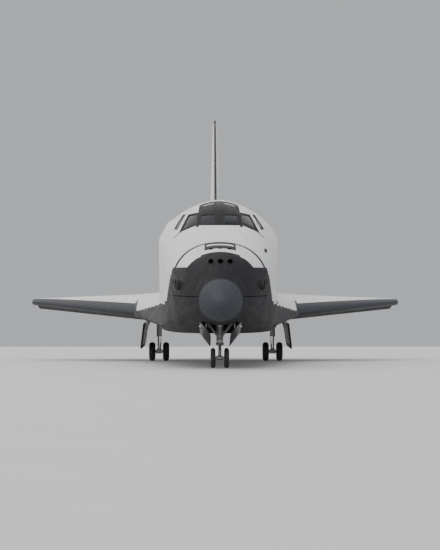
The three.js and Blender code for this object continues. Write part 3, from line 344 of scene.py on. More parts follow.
def skin_station(x, z):
    """The station where the cabin's skin passes through a point of the front view."""
    near, far = NOSE_CAP_END, CABIN_END
    for _ in range(40):
        y = (near + far) / 2
        _, _, _, high, high_z, top, _, power = body_at(y)
        inside = (abs(x) / high) ** power + (max(z - high_z, 0) / (top - high_z)) ** power < 1
        near, far = (near, y) if inside else (y, far)
    return far


def round_corners(corners, radius, steps=4):
    """A flat outline with each corner replaced by a short curve."""
    points = []
    for i, corner in enumerate(corners):
        for_before = (corners[i - 1] - corner).normalized() * radius
        for_after = (corners[(i + 1) % len(corners)] - corner).normalized() * radius
        for k in range(steps + 1):
            t = k / steps
            points.append(corner + for_before * (1 - t) ** 2 + for_after * t**2)
    return points


def skin_prism(outline, margin, radius=2.2, depth=14):
    """A prism through the skin over an outline given in the front view."""
    corners = [Vector((x, skin_station(x, z), z)) for x, z in outline]
    normal = (corners[2] - corners[0]).cross(corners[3] - corners[1]).normalized()
    middle = sum(corners, Vector()) / len(corners)
    grown = [corner + (corner - middle).normalized() * margin for corner in corners]
    outline = round_corners(grown, radius)
    return loft([[point + normal * along for point in outline] for along in (-depth, depth)])


# Nose and crew cabin.

THRUSTER_MODULE = {"end": 367, "bottom": 340, "joint": 0.5}
PANES = {
    "front": [(8, 455), (31, 455), (31, 474), (8, 475)],
    "middle": [(37, 458), (63.5, 447), (51.5, 475), (37, 477)],
    "side": [(71.5, 449.5), (76, 451.5), (62, 477.5), (58, 478)],
}
OVERHEAD = {"x": (7, 29), "y": (512, 538)}
HATCH = Vector((0, 515, 345))
HATCH_RADIUS = 20
HATCH_WINDOW = 5.5
HATCH_PIN = {"x": 101.6, "drop": 21.2, "half": 12, "radius": 0.8}
FLOOR_Z = {"middeck": 327, "deck": 410, "deck_top": 414}
CABIN = {"middeck_front": 418, "deck_front": 436}
PANES_FRONT = 426
NOSE_WELL = {"half": 31, "front": 284.5, "back": 399, "roof": 330}
# Thruster ports: mouth, way in, radius, depth, and how tall for its width.
PORTS = [((x, 275, 395), (0, 1, -0.15), 5.1, 32, 1) for x in (-14.5, 0, 14.5)]
PORTS += [((x, 324, 425), (0, 0.25, -1), 4.2, 26, 1) for x in (-14, 0, 14)]
SIDE_PORTS = [(325.6, 356.6, 5.2, 9.4), (342.5, 357.9, 4.2, 8.8), (355, 361, 2.4, 4.8), (355, 376, 2, 2.6)]
PORTS += [((side * 80, y, z), (-side, 0, 0), long, 30, high / long)
          for side in (-1, 1) for y, z, long, high in SIDE_PORTS]


def make_nose_cap():
    return body_solid(NOSE_TIP, NOSE_CAP_END - SEAT)


def set_in_port(solid, at, tall):
    return moved(solid, Matrix.Translation(at) @ Matrix.Scale(tall, 4, (0, 0, 1)))


def port_holes():
    holes = []
    for at, into, radius, depth, tall in PORTS:
        hole = rod((0, 0, 0), Vector(into).normalized() * depth, radius, radius * 0.7)
        holes.append(set_in_port(hole, at, tall))
    return holes


def make_thruster_liners():
    """Small bells deep in the thruster ports, from each port's mouth at the skin inwards."""
    liners = []
    for at, into, radius, depth, tall in PORTS:
        along = Vector(into).normalized()
        start = along * depth * 0.45
        mouth, throat = radius * 0.78, radius * 0.3
        outside = [(mouth, 0), (mouth * 0.9, depth * 0.14), (throat + 0.5, depth * 0.4)]
        inside = [(throat, depth * 0.4), (mouth * 0.9 - 0.35, depth * 0.14), (mouth - 0.35, 0)]
        liner = turned([*outside, *inside], start, along, 32, looped=True)
        liners.append(set_in_port(liner, at, tall))
    return gathered(*liners)


def module_space(front, gap):
    """The thruster module's space, grown by a gap behind and below."""
    end, bottom = THRUSTER_MODULE["end"], THRUSTER_MODULE["bottom"]
    return block((-FAR, FAR), (front, end + gap), (bottom - gap, HIGH))


def make_thruster_module():
    body = body_solid(NOSE_CAP_END + SEAT, THRUSTER_MODULE["end"], pitch=3)
    space = module_space(NOSE_CAP_END, -THRUSTER_MODULE["joint"])
    return cut(common(body, space), *port_holes())


def overhead_hole(margin):
    x, y = OVERHEAD["x"], OVERHEAD["y"]
    corners = [Vector((x[i] + margin * (2 * i - 1), y[j] + margin * (2 * j - 1), 0))
               for i, j in ((0, 0), (1, 0), (1, 1), (0, 1))]
    outline = round_corners(corners, 2.2)
    return plate("plan", [(point.x, point.y) for point in outline], (470, 520))


def hatch_bar(radius):
    return rod(HATCH + Vector((80, 0, 0)), HATCH + Vector((FAR, 0, 0)), radius, sides=64)


def cabin_space():
    front, back = CABIN["middeck_front"], CABIN_END + 1
    middeck = block((-FAR, FAR), (front, back), (FLOOR_Z["middeck"], FLOOR_Z["deck_top"]))
    deck = block((-FAR, FAR), (CABIN["deck_front"], back), (FLOOR_Z["deck"], HIGH))
    return common(body_solid(front - 1, back, SKIN), joined(middeck, deck))


def make_cabin_skin():
    half = NOSE_WELL["half"]
    well = block((-half, half), (NOSE_WELL["front"], NOSE_WELL["back"]), (LOW, NOSE_WELL["roof"]))
    holes = [both(skin_prism(outline, 0.3)) for outline in PANES.values()]
    holes += [both(overhead_hole(0.3)), hatch_bar(HATCH_RADIUS + 0.6)]
    body = body_solid(NOSE_CAP_END + SEAT, CABIN_END - SEAT, pitch=3)
    return cut(body, cabin_space(), module_space(NOSE_TIP, THRUSTER_MODULE["joint"]), well, *holes)


def make_glass(hole_of):
    """A pane a little under the skin, and the frame that laps its edge."""
    ends = (PANES_FRONT, CABIN_END - 20)
    pane = common(shell(*ends, 1.2, 2.6), hole_of(0.26))
    lip = common(shell(*ends, 0.35, 1.15), cut(hole_of(0.28), hole_of(-1.5)))
    return pane, lip


def make_hatch():
    plug = common(shell(480, 550, 0, SKIN, pitch=1.5), hatch_bar(HATCH_RADIUS))
    groove = cut(hatch_bar(HATCH_WINDOW + 3.4), hatch_bar(HATCH_WINDOW + 3))
    ring = cut(groove, body_solid(480, 550, 0.4))
    x, y, z = HATCH_PIN["x"], HATCH.y, HATCH.z - HATCH_PIN["drop"]
    arm = block((x - 4.4, x + 0.6), (y - 4, y + 4), (z - 0.5, z + 5))
    pin = rod((x, y - HATCH_PIN["half"], z), (x, y + HATCH_PIN["half"], z), HATCH_PIN["radius"])
    return gathered(cut(plug, hatch_bar(HATCH_WINDOW), ring), arm, pin)


def make_hatch_glass():
    return common(shell(495, 535, 1, 2.4, pitch=1.5), hatch_bar(HATCH_WINDOW - SEAT))


# Payload bay, doors and radiators.

TROUGH_HALF = 93
TROUGH_Z = 308
TROUGH_SIDE = [(62, TROUGH_Z), (84, 322), (TROUGH_HALF, 350), (TROUGH_HALF, 440)]
TROUGH = [(-x, z) for x, z in TROUGH_SIDE[::-1]] + TROUGH_SIDE
FRAME_DEPTH = 3
FRAME_COUNT = 9
FRAME_WIDTH = 4
DOOR_HINGE_X = 106.9
DOOR_HINGES = (650, 850, 1050, 1250)
DOOR_JOINTS = (727, 872, 1017, 1162)
BAY_VENTS = [((y, y + 26), (396, 404)) for y in (612, 790, 968, 1146)]


def side_vents(vents, depth=1.2):
    """Shallow slots in both sides of the fuselage."""
    slots = []
    for ys, zs in vents:
        slots.append(block((body_at(ys[0])[3] - depth, FAR), ys, zs))
    return both(gathered(*slots))


def door_bar(start, end, radius):
    """A bar on the port door's hinge line."""
    return rod((DOOR_HINGE_X, start, SILL_Z), (DOOR_HINGE_X, end, SILL_Z), radius)


def make_bay():
    ends = (CABIN_END - 1, BAY_END + 1)
    above = block((-FAR, FAR), ends, (SILL_Z, HIGH))
    share = 1 - FRAME_DEPTH / TROUGH_HALF
    trough = plate("front", [(x * share, max(z, TROUGH_Z + FRAME_DEPTH)) for x, z in TROUGH], ends)
    pitch = (BAY_END - CABIN_END) / (FRAME_COUNT + 1)
    bays = []
    for i in range(FRAME_COUNT + 1):
        start = CABIN_END + i * pitch + (FRAME_WIDTH / 2 if i else -1)
        end = CABIN_END + (i + 1) * pitch - (FRAME_WIDTH / 2 if i < FRAME_COUNT else -1)
        bays.append(plate("front", TROUGH, (start, end)))
    body = body_solid(CABIN_END, BAY_END - SEAT, pitch=14)
    body = cut(body, above, trough, gathered(*bays), both(door_bar(*ends, 1.2)), side_vents(BAY_VENTS))
    lugs = [door_bar(y - 1.5, y + 1.5, 1.9) for y in DOOR_HINGES]
    return gathered(body, both(gathered(*lugs)))


def dome_lining(outer, inner, bottom, near, start, end, **options):
    lining = shell(start, end, outer, inner, pitch=14, **options)
    return common(lining, block((near, FAR), (start - 1, end + 1), (bottom, HIGH)))


def make_bay_door():
    door = dome_lining(0, SKIN, SILL_Z + 0.3, 0.25, CABIN_END + 0.6, BAY_END - 0.6, grooves=DOOR_JOINTS)
    across, high = (DOOR_HINGE_X - 6, FAR), (SILL_Z - 3, SILL_Z + 2.9)
    slots = [block(across, (y - 2.3, y + 2.3), high) for y in DOOR_HINGES]
    pins = [door_bar(y - 3.5, y + 3.5, 0.8) for y in DOOR_HINGES]
    return gathered(cut(door, gathered(*slots)), *pins)


def make_radiator():
    lining = dome_lining(SKIN + SEAT, SKIN + 1.6, 434, 8, CABIN_END + 20, BAY_END - 20)
    gaps = [block((0, FAR), (y - 0.4, y + 0.4), (400, HIGH)) for y in DOOR_JOINTS]
    return cut(lining, gathered(*gaps))


# Aft fuselage, heat shield, engines and pods.

ENGINE_ROOM = {"half": 84, "front": 1441, "z": (306, 486)}
FLAP = {"radius": 9, "lugs": (-80, 0, 80)}
SHELF = {"half": 111, "top": 299, "bottom": 277.5}
AFT_VENTS = [((1340, 1356), (398, 406)), ((1450, 1474), (352, 372))]


def flap_bar(start, end, radius, sides=24):
    """A bar on the body flap's hinge line."""
    return rod((start, *FLAP_HINGE.yz), (end, *FLAP_HINGE.yz), radius, sides=sides)


def make_aft():
    room_half, shelf_half, radius = ENGINE_ROOM["half"], SHELF["half"], FLAP["radius"]
    room = block((-room_half, room_half), (ENGINE_ROOM["front"], BODY_END + 1), ENGINE_ROOM["z"])
    shelf_ends = (BODY_END - 10, FLAP_HINGE.y - 0.75 * radius)
    shelf = block((-shelf_half, shelf_half), shelf_ends, (SHELF["bottom"], SHELF["top"]))
    body = joined(cut(body_solid(BAY_END, BODY_END, pitch=8), room), shelf)
    body = cut(body, flap_bar(-FAR, FAR, radius + RUN, 48), side_vents(AFT_VENTS))
    lugs = []
    for x in FLAP["lugs"]:
        lugs.append(flap_bar(x - 1.5, x + 1.5, 2.6))
        lugs.append(block((x - 1.5, x + 1.5), (FLAP_HINGE.y - 12, FLAP_HINGE.y), (285.4, 288.6)))
    return gathered(body, *lugs)


ENGINE_BLOCK = [(9, -42), (9, 8), (26, 8), (26, 44), (10, 46), (10, 52)]
BELL = [(18, 61), (27, 77), (36, 101), (42.5, 128), (46.6, 160), (48, 161), (48, 168)]
BELL_WALL = 1.7
UPPER_DOME = [(40, 58), (40, 78), (39, 88), (37, 96)]
LOWER_DOME = [(41, 33), (41, 55), (39, 65), (34, 73), (30, 76)]
ENGINES = [
    ("upper", (0, 1445, 443), 16, 0, UPPER_DOME),
    ("left", (53, 1468, 342.6), 10, 3.5, LOWER_DOME),
    ("right", (-53, 1468, 342.6), 10, -3.5, LOWER_DOME),
]


def direction(pitch, yaw):
    up, side = math.radians(pitch), math.radians(yaw)
    return Vector((math.sin(side), math.cos(side) * math.cos(up), math.sin(up)))


def radius_along(profile):
    return smooth_table([(t, r) for r, t in profile])


def curve(profile, count, offset=0.0):
    """Points on a smooth curve through a profile of (radius, distance)."""
    radius = radius_along(profile)
    places = np.linspace(profile[0][1], profile[-1][1], count)
    return [(radius(t)[0] + offset, t) for t in places]


def make_bell(origin, along):
    """An engine's bell with its stiffening bands, open inside down to the throat."""
    flare = BELL[:5]
    bell_radius, inside = radius_along(flare), curve(flare, 30, -BELL_WALL)[::-1]
    bands = np.linspace(72, 154, 9)
    outside = []
    edges = (band + k for band in bands for k in (-0.8, -0.7, 0.7, 0.8))
    for t in sorted([*(t for _, t in inside), *edges]):
        raised = 1.1 if any(abs(t - band) < 0.75 for band in bands) else 0
        outside.append((bell_radius(t)[0] + raised, t))
    rim = [(48, 161), (48.2, 164), (48, 168), (46.3, 168), (45.6, 166)]
    start = [(0, 46), (10, 46), (10, 52), (14, 58)]
    bell = turned([*start, *outside, *rim, *inside, (5, 53.5), (0, 53.5)], origin, along, 96)
    frame_of = along.to_track_quat("Z", "Y").to_matrix()
    lines = []
    for angle in (40, 160, 280):
        turn = math.radians(angle)
        points = []
        for t in (64, 84, 108, 134, 158):
            r = bell_radius(t)[0] + 1.5
            points.append(Vector(origin) + frame_of @ Vector((r * math.cos(turn), r * math.sin(turn), t)))
        lines += [rod(a, b, 1.1, sides=16) for a, b in zip(points, points[1:])]
    return gathered(bell, *lines)


def make_heat_shield():
    below = block((-FAR, FAR), (BODY_END - 1, SHIELD_END + 1), (LOW, SHELF["top"] + SEAT))
    wall = cut(body_solid(BODY_END + SEAT, SHIELD_END, pitch=4), below)
    for _, origin, pitch, yaw, dome in ENGINES:
        along = direction(pitch, yaw)
        shape = [(0, dome[0][1]), *curve(dome, 14), (0, dome[-1][1])]
        inside = turned(shape, origin, along, 72)
        wall = joined(wall, cut(inside, block((-FAR, FAR), (1400, BODY_END + SEAT), (LOW, HIGH))))
    for _, origin, pitch, yaw, _ in ENGINES:
        outline = [(0, -60), *[(r + SEAT * 2, t) for r, t in ENGINE_BLOCK + BELL], (0, 168)]
        wall = cut(wall, turned(outline, origin, direction(pitch, yaw), 72))
    return wall


POD_SECTIONS = [
    (1306, 71.5, 469.5, 3, 2.5),
    (1312, 72.6, 470.2, 19, 15.5),
    (1330, 76, 472, 34, 31),
    (1360, 80, 475, 44, 42),
    (1410, 85, 479, 51, 49),
    (1480, 87, 481, 52, 50),
    (1540, 88, 483, 49, 46),
    (1567, 88, 484, 45, 42),
]
POD_POWER = 2.5
POD_INNER = 53
STINGER = {"x": (112, 134), "y": (1500, 1592), "z": (454, 487), "soft": 4}
STINGER_PORTS = {"y": (1548, 1562, 1576), "z": 471, "mouth": 4.4, "throat": 3.4}
POD_NOZZLE = {"origin": (86, 1560, 486), "pitch": 15.8, "yaw": 6.5}
POD_BELL = [(5.5, 12), (10, 21), (16, 34), (20.5, 54)]


def pod_ring(row, y):
    middle, height, half_width, half_height = row(y)
    points = []
    for angle in np.linspace(0, 2 * math.pi, 72, endpoint=False):
        c, s = math.cos(angle), math.sin(angle)
        reach = (abs(c) ** POD_POWER + abs(s) ** POD_POWER) ** (-1 / POD_POWER)
        points.append((middle + half_width * c * reach, y, height + half_height * s * reach))
    return points


def make_pod():
    row = smooth_table(POD_SECTIONS)
    front = POD_SECTIONS[0][0]
    length = POD_SECTIONS[-1][0] - front
    body = loft([pod_ring(row, front + length * share**1.6) for share in np.linspace(0, 1, 44)])
    (near, far), (low, high), soft = STINGER["x"], STINGER["z"], STINGER["soft"]
    outline = [(near, low), (far - soft, low), (far, low + soft)]
    outline += [(far, high - soft), (far - soft, high), (near, high)]
    stinger = plate("front", outline, STINGER["y"])
    places, z, *radii = STINGER_PORTS.values()
    ports = [rod((150, y, z), (127, y, z), *radii) for y in places]
    ports.append(rod((123, 1600, z), (123, 1586, z), *radii))
    inner = block((0, POD_INNER), (BODY_END, 1600), (400, 560))
    fuselage = body_solid(BAY_END - 20, SHIELD_END + 0.9, -SEAT, pitch=8)
    return cut(joined(body, stinger), inner, fuselage, *ports)


def make_pod_nozzle():
    outside, inside = curve(POD_BELL, 18), curve(POD_BELL, 18, -0.9)[::-1]
    profile = [(0, -4), (7, -4), (7, 8), *outside, (20.8, 54.6), *inside, (0, 13)]
    return turned(profile, POD_NOZZLE["origin"], direction(POD_NOZZLE["pitch"], POD_NOZZLE["yaw"]), 72)


# Fin. The rudder's halves keep the frame's own shapes.

FIN = {"root": 503, "tip": 816, "cap": 818.7, "foot": 521, "rudder": (600, 796)}
# The rudder's shaft: its radius, and how far it reaches into the fin below and above the rudder.
SHAFT = {"radius": 3, "below": 12, "above": 7, "clearance": 0.1}
# Along the fin: a value at its root and how much it changes for each inch up.
FIN_LINES = {
    "front": (1280, 1),
    "hinge": (1441, 0.6933),
    "back": (1548.5, 0.4888),
    "half": (14.75, -0.02796),
}


def fin_line(name, z):
    start, rate = FIN_LINES[name]
    return (z - FIN["root"]) * rate + start


RUDDER_AXIS = Vector((0, FIN_LINES["hinge"][1], 1))


def hinge_frame(origin, axis, away):
    x = Vector(axis).normalized()
    z = x.cross(Vector(away)).normalized()
    y = z.cross(x)
    return Matrix.Translation(origin) @ Matrix((x, y, z)).transposed().to_4x4()


def cove_space(ends):
    """A round bar along a hinge, from its place and radius at each end, with the running gap."""
    turn = np.linspace(0, 2 * math.pi, 48, endpoint=False)
    return loft([[(at, (radius + RUN) * math.cos(a), (radius + RUN) * math.sin(a)) for a in turn]
                 for at, radius in ends])


def fin_ring(z, thin=1.0):
    front, hinge, back, half = [fin_line(name, z) for name in FIN_LINES]
    shares = np.linspace(0, 1, 15)[1:] ** 1.8
    half *= thin
    side = [(half * (0.5 * math.sqrt(t) + 0.5 * t), front + t * (hinge - front)) for t in shares]
    side.append((0.8, back))
    return [(0, front, z), *[(x, y, z) for x, y in side], *[(-x, y, z) for x, y in side[::-1]]]


def make_fin():
    heights = [486, 540, 600, 660, 720, 780, FIN["tip"] - 3]
    crown = [(FIN["tip"] - 1.3, 0.97), (FIN["tip"], 0.9), (817.2, 0.8), (818.2, 0.62), (FIN["cap"], 0.4)]
    rings = [fin_ring(z) for z in heights] + [fin_ring(z, thin) for z, thin in crown]
    base = FIN["rudder"][0]
    rise = 1 / RUDDER_AXIS.length
    length = (FIN["rudder"][1] - base) / rise
    place = hinge_frame((0, fin_line("hinge", base), base), RUDDER_AXIS, (0, 1, 0))
    ends = [(at, fin_line("half", base + at * rise)) for at in (-RUN, length + RUN)]
    behind = []
    for at, half in ends:
        front = -0.85 * half
        behind.append([(at, front, -30), (at, 130, -30), (at, 130, 30), (at, front, 30)])
    clear = SHAFT["clearance"]
    bore_ends = (-SHAFT["below"] - clear, 0, 0), (length + SHAFT["above"] + clear, 0, 0)
    bore = rod(*bore_ends, SHAFT["radius"] + clear)
    overhang = block((-30, 30), (BODY_END - 3, 1730), (400, FIN["foot"]))
    tools = [moved(tool, place) for tool in (loft(behind), cove_space(ends), bore)]
    return cut(loft(rings), *tools, overhang, body_solid(1260, BODY_END, -SEAT, pitch=8))


# Wings and their carbon leading edges, port side.

HINGE_Y = 1387
SPAN = {"glove": 95, "root": 126, "kink": 185, "tip": 452, "end": 468.3}
DIHEDRAL = 0.0612
KINK_Y = 1021
# Columns: x, leading edge y and z, rise above and drop below the chord line, bluntness.
WING_SECTIONS = [
    (SPAN["glove"], 469, 287, 56, 17.5, 1),
    (SPAN["kink"], KINK_Y, 290, 40, 15, 0.55),
    (SPAN["tip"], 1288, 305.8, 11.7, 7, 0.5),
]
TIP_ROUND = 24
ELEVON_LUGS = (165, 275, 345, 430)
LEADING_EDGE = {"root": 176, "depth": 31, "panels": 22, "z": (240, 340)}
MAIN_WELL = {"x": (109, 163), "y": (1058, 1196), "roof": 312}


def hinge_z(x):
    return 283.5 + (x - SPAN["root"]) * DIHEDRAL


def hinge_radius(x):
    return 13 - (x - SPAN["root"]) * (9 / 342)


def trailing_y(x):
    return 1506 - (x - 105) * (64 / 363)


def wing_ring(row, thin=1.0, back=0.0):
    x, y, z, rise, drop, blunt = row
    radius, front = hinge_radius(x), y + back

    def height(v, most):
        if v < 0.5:
            return most * (1 - (1 - 2 * v) ** 2) ** blunt
        return radius + (most - radius) * (1 - ((v - 0.5) / 0.5) ** 1.8)

    def point(v, offset):
        return x, front + v * (HINGE_Y - front), z + v * (hinge_z(x) - z) + offset * thin

    shares = [*(np.linspace(0.04, 0.5, 22) ** 2), *np.linspace(0.28, 1, 16)]
    upper = [point(v, height(v, rise)) for v in shares]
    lower = [point(v, -height(v, drop)) for v in shares[::-1]]
    trailing = [(x, trailing_y(x), hinge_z(x) + edge) for edge in (0.8, -0.8)]
    return [point(0, 0), *upper, *trailing, *lower]


def whole_wing():
    x, y, *section = WING_SECTIONS[-1]
    rings = [wing_ring(row) for row in WING_SECTIONS]
    for share in np.sin(np.linspace(0, math.pi / 2, 12))[1:]:
        across = share * (SPAN["end"] - x)
        back = TIP_ROUND * (1 - math.sqrt(1 - share**2))
        rings.append(wing_ring((x + across, y + across, *section), 1 - 0.25 * share**3, back))
    return loft(rings)


def leading_edge_space(gap):
    near, far = LEADING_EDGE["root"] - gap, 500
    back = KINK_Y - SPAN["kink"] + LEADING_EDGE["depth"] + gap
    outline = [(near, 900), (far, 900), (far, back + far), (near, back + near)]
    return plate("plan", outline, LEADING_EDGE["z"])


def make_leading_edge():
    """The carbon leading edge, in panels with a narrow joint between them."""
    joints = []
    reach, half = 40, 0.22
    corners = ((reach, -half), (reach, half), (-reach, half), (-reach, -half))
    for x in np.linspace(LEADING_EDGE["root"], SPAN["end"], LEADING_EDGE["panels"] + 1)[1:-1]:
        y = KINK_Y + (x - SPAN["kink"])
        outline = [(x + along + across, y - along + across) for along, across in corners]
        joints.append(plate("plan", outline, LEADING_EDGE["z"]))
    return cut(common(whole_wing(), leading_edge_space(0)), *joints)


def make_wing():
    """The wing without its leading edge and elevons, with their lugs on the hinge line."""
    inner, outer = SPAN["root"], 480
    place = hinge_frame((inner, HINGE_Y, hinge_z(inner)), (1, 0, DIHEDRAL), (0, 1, 0))
    stretch = math.hypot(1, DIHEDRAL)
    cove = cove_space([((x - inner) * stretch, hinge_radius(x)) for x in (inner + 0.7, outer)])
    front = [(x, HINGE_Y - 0.75 * hinge_radius(x)) for x in (inner, outer)]
    tools = [
        leading_edge_space(SEAT),
        plate("plan", [*front, (outer, 1700), (inner, 1700)], (LOW, 400)),
        moved(cove, place),
        block(MAIN_WELL["x"], MAIN_WELL["y"], (LOW, MAIN_WELL["roof"])),
        body_solid(400, SHIELD_END + 0.9, -SEAT, pitch=14),
        block((0, SHELF["half"] + SEAT), (BODY_END - 12, 1600), (LOW, SHELF["top"] + 1)),
    ]
    lugs = []
    for x in ELEVON_LUGS:
        at = (x - inner) * stretch
        lugs.append(rod((at - 1.5, 0, 0), (at + 1.5, 0, 0), 2.6))
        lugs.append(block((at - 1.5, at + 1.5), (-hinge_radius(x) - 3, 0), (-1.6, 1.6)))
    return gathered(cut(whole_wing(), *tools), moved(gathered(*lugs), place))


# Landing gear. A gear's frame starts where its wheels touch the ground: x to port, y aft along
# the ground, z straight up from it. The ground passes through GROUND_Y and GROUND_Z.

GROUND_Y = 1650
GROUND_Z = 137
MAIN_GEAR = {"x": 136, "y": 1172, "track": 16.5, "tyre": 22.25, "width": 16, "rim": 11, "axle": 2.4}
NOSE_GEAR = {"x": 0, "y": 377, "track": 10.8, "tyre": 16, "width": 8.7, "rim": 7.5, "axle": 1.6}


def gear_frame(gear):
    ground = GROUND_Z + GROUND_SLOPE * (GROUND_Y - gear["y"])
    return Matrix.Translation((gear["x"], gear["y"], ground)) @ Matrix.Rotation(-GROUND_ANGLE, 4, "X")


def make_tyre(gear, side):
    """A tyre with round shoulders and grooves round its tread."""
    rim, radius, half = gear["rim"], gear["tyre"], gear["width"] / 2
    wall = radius - rim
    profile = []
    for share in np.linspace(-1, 1, 73):
        rise = (1 - abs(share) ** 2.8) ** 0.5
        groove = 0.03 if any(abs(share - place) < 0.025 for place in (-0.42, -0.14, 0.14, 0.42)) else 0
        bulge = 1 - 0.18 * (1 - rise) ** 3
        profile.append((rim + 0.12 * wall + wall * (0.88 * rise - groove), share * half * bulge))
    profile += [(rim, 0.72 * half), (rim, -0.72 * half)]
    return turned(profile, (side * gear["track"], 0, gear["tyre"]), (1, 0, 0), 96, looped=True)


def make_hubs(gear):
    """Axle, dished wheels, brake drums and bolts of a pair of wheels."""
    rim, width, track, axle, up = gear["rim"], gear["width"], gear["track"], gear["axle"], gear["tyre"]
    edge, half = rim - 0.05, 0.42 * width
    dish = [(0, half - 0.4), (axle * 1.5, half - 0.4), (axle * 1.7, half - 1), (axle * 1.9, 0.14 * width),
            (rim * 0.62, 0.08 * width), (edge - 2, 0.16 * width), (edge - 1, half - 0.8), (edge - 0.4, half),
            (edge, half - 0.3), (edge, -half + 0.6), (edge - 1, -half), (edge - 2.2, -half + 0.6),
            (rim * 0.66, -half - 0.4), (axle * 1.7, -half - 0.7), (0, -half - 0.7)]
    made = [rod((-track, 0, up), (track, 0, up), axle, sides=32)]
    for side in (-1, 1):
        made.append(turned(dish, (side * track, 0, up), (side, 0, 0), 64))
        face = track + 0.11 * width
        for angle in np.linspace(0, 2 * math.pi, 10, endpoint=False):
            y, z = rim * 0.5 * math.cos(angle), up + rim * 0.5 * math.sin(angle)
            made.append(rod((side * (face - 1), y, z), (side * (face + 0.7), y, z), 0.45, sides=6))
    return gathered(*made)


def link(start, end, width, thickness):
    """A flat link with round ends, in the plane square to x."""
    a, b = Vector(start), Vector(end)
    angle = math.atan2(b.z - a.z, b.y - a.y)
    outline = []
    for centre, first in ((b, angle - math.pi / 2), (a, angle + math.pi / 2)):
        for k in range(9):
            turn = first + math.pi * k / 8
            outline.append((centre.y + width * math.cos(turn), centre.z + width * math.sin(turn)))
    return plate("side", outline, (a.x - thickness / 2, a.x + thickness / 2))


def collar(z, radius, length):
    """A ring round a leg."""
    return rod((0, 0, z - length / 2), (0, 0, z + length / 2), radius, sides=32)


def crossbar(half, y, z, radius, sides=24):
    return rod((-half, y, z), (half, y, z), radius, sides=sides)


def make_main_leg():
    """Cylinder, trunnion, drag brace with its knuckle, axle housing, torque links and brake lines."""
    axle, trunnion, brace, reach = MAIN_GEAR["tyre"], 128, (-95, 122), 27 - SEAT
    knuckle, elbow = (0, -48, 104), (18, 45)
    parts = [
        rod((0, 0, 61), (0, 0, trunnion + 4), 6.5, sides=40),
        crossbar(reach, 0, trunnion, 4.5),
        crossbar(reach, *brace, 3),
        rod((0, -2, 78), knuckle, 3.2),
        both(rod(knuckle, (14, *brace), 2.6)),
        rod(knuckle, (0, -2, 122), 2),
        both(rod((0, 0, 98), (22, 0, trunnion), 2.6)),
        collar(60, 7.4, 3.4),
        collar(78, 7.2, 3),
        collar(100, 7.2, 3),
        crossbar(4.5, *knuckle[1:], 3.8, 32),
        crossbar(7.6, 0, axle, 5.2, 32),
        collar(axle + 6, 5.2, 5),
        both(link((3, 4, 29), (3, *elbow), 2.2, 1.5)),
        both(link((1.3, *elbow), (1.3, 6, 62), 2.2, 1.5)),
        crossbar(4.6, *elbow, 1.2),
        both(rod((3.4, 6.2, 30), (4.76, 8, 60), 0.5, sides=12)),
        both(rod((4.76, 8, 60), (4.76, 7, 120), 0.5, sides=12)),
    ]
    return moved(gathered(*parts), gear_frame(MAIN_GEAR))


def make_main_piston():
    return moved(rod((0, 0, MAIN_GEAR["tyre"] + 3), (0, 0, 62), 4, sides=40), gear_frame(MAIN_GEAR))


def make_nose_leg():
    foot, trunnion, brace, reach = 41.8, 80, (-62, 84), 31 - SEAT
    knuckle = (0, -34, 67)
    parts = [
        rod((0, 0, foot), (0, 0, trunnion + 3), 4.5, sides=40),
        collar(44.6, 5.6, 4.8),
        collar(62, 5.2, 2.4),
        crossbar(reach, 0, trunnion, 3),
        both(rod((0, 0, 47), (27, 0, trunnion), 2.2)),
        crossbar(reach, *brace, 2.4),
        rod((0, -3, 52), knuckle, 2.4),
        both(rod(knuckle, (16, *brace), 2)),
        crossbar(3.5, *knuckle[1:], 2.9, 32),
        both(rod((5.6, -2, 47), (5.6, -2, 70), 0.45, sides=12)),
    ]
    return moved(gathered(*parts), gear_frame(NOSE_GEAR))


def make_nose_steering():
    axle, elbow = NOSE_GEAR["tyre"], (-15, 27)
    parts = [
        rod((0, 0, axle), (0, 0, 41), 2.6, sides=40),
        collar(38.5, 6.2, 5.4),
        crossbar(5.4, 0, axle, 3.4, 32),
        both(link((2, -2, axle + 2), (2, *elbow), 1.7, 1.1)),
        both(link((0.8, *elbow), (0.8, -5.6, 38), 1.7, 1.1)),
        crossbar(3, *elbow, 0.9),
    ]
    return moved(gathered(*parts), gear_frame(NOSE_GEAR))


def belly_z(x, y):
    bottom, low, low_z, _, _, _, power, _ = body_at(y)
    return low_z - (low_z - bottom) * (1 - (x / low) ** power) ** (1 / power)


NOSE_DOOR = {"y": (286, 398), "arms": (302, 386), "inward": 17, "thickness": 1.8, "corner": 5, "drop": 21}
MAIN_DOOR = {"y": (1062, 1192), "arms": (1085, 1170), "outward": 7, "thickness": 3.6, "corner": 10,
             "hinge": 163.6, "top": 264, "foot": 206}


def door_panel(door, drop, count, section):
    """A door whose lower corners are round. section(y, share) is its outline at a share of its drop."""
    front, back = door["y"]
    rings = []
    for y in np.linspace(front, back, count):
        near = min((y - front) / door["corner"], (back - y) / door["corner"], 1)
        lift = door["corner"] * (1 - math.sqrt(1 - (1 - near) ** 2))
        rings.append(section(y, (drop - lift) / drop))
    return loft(rings)


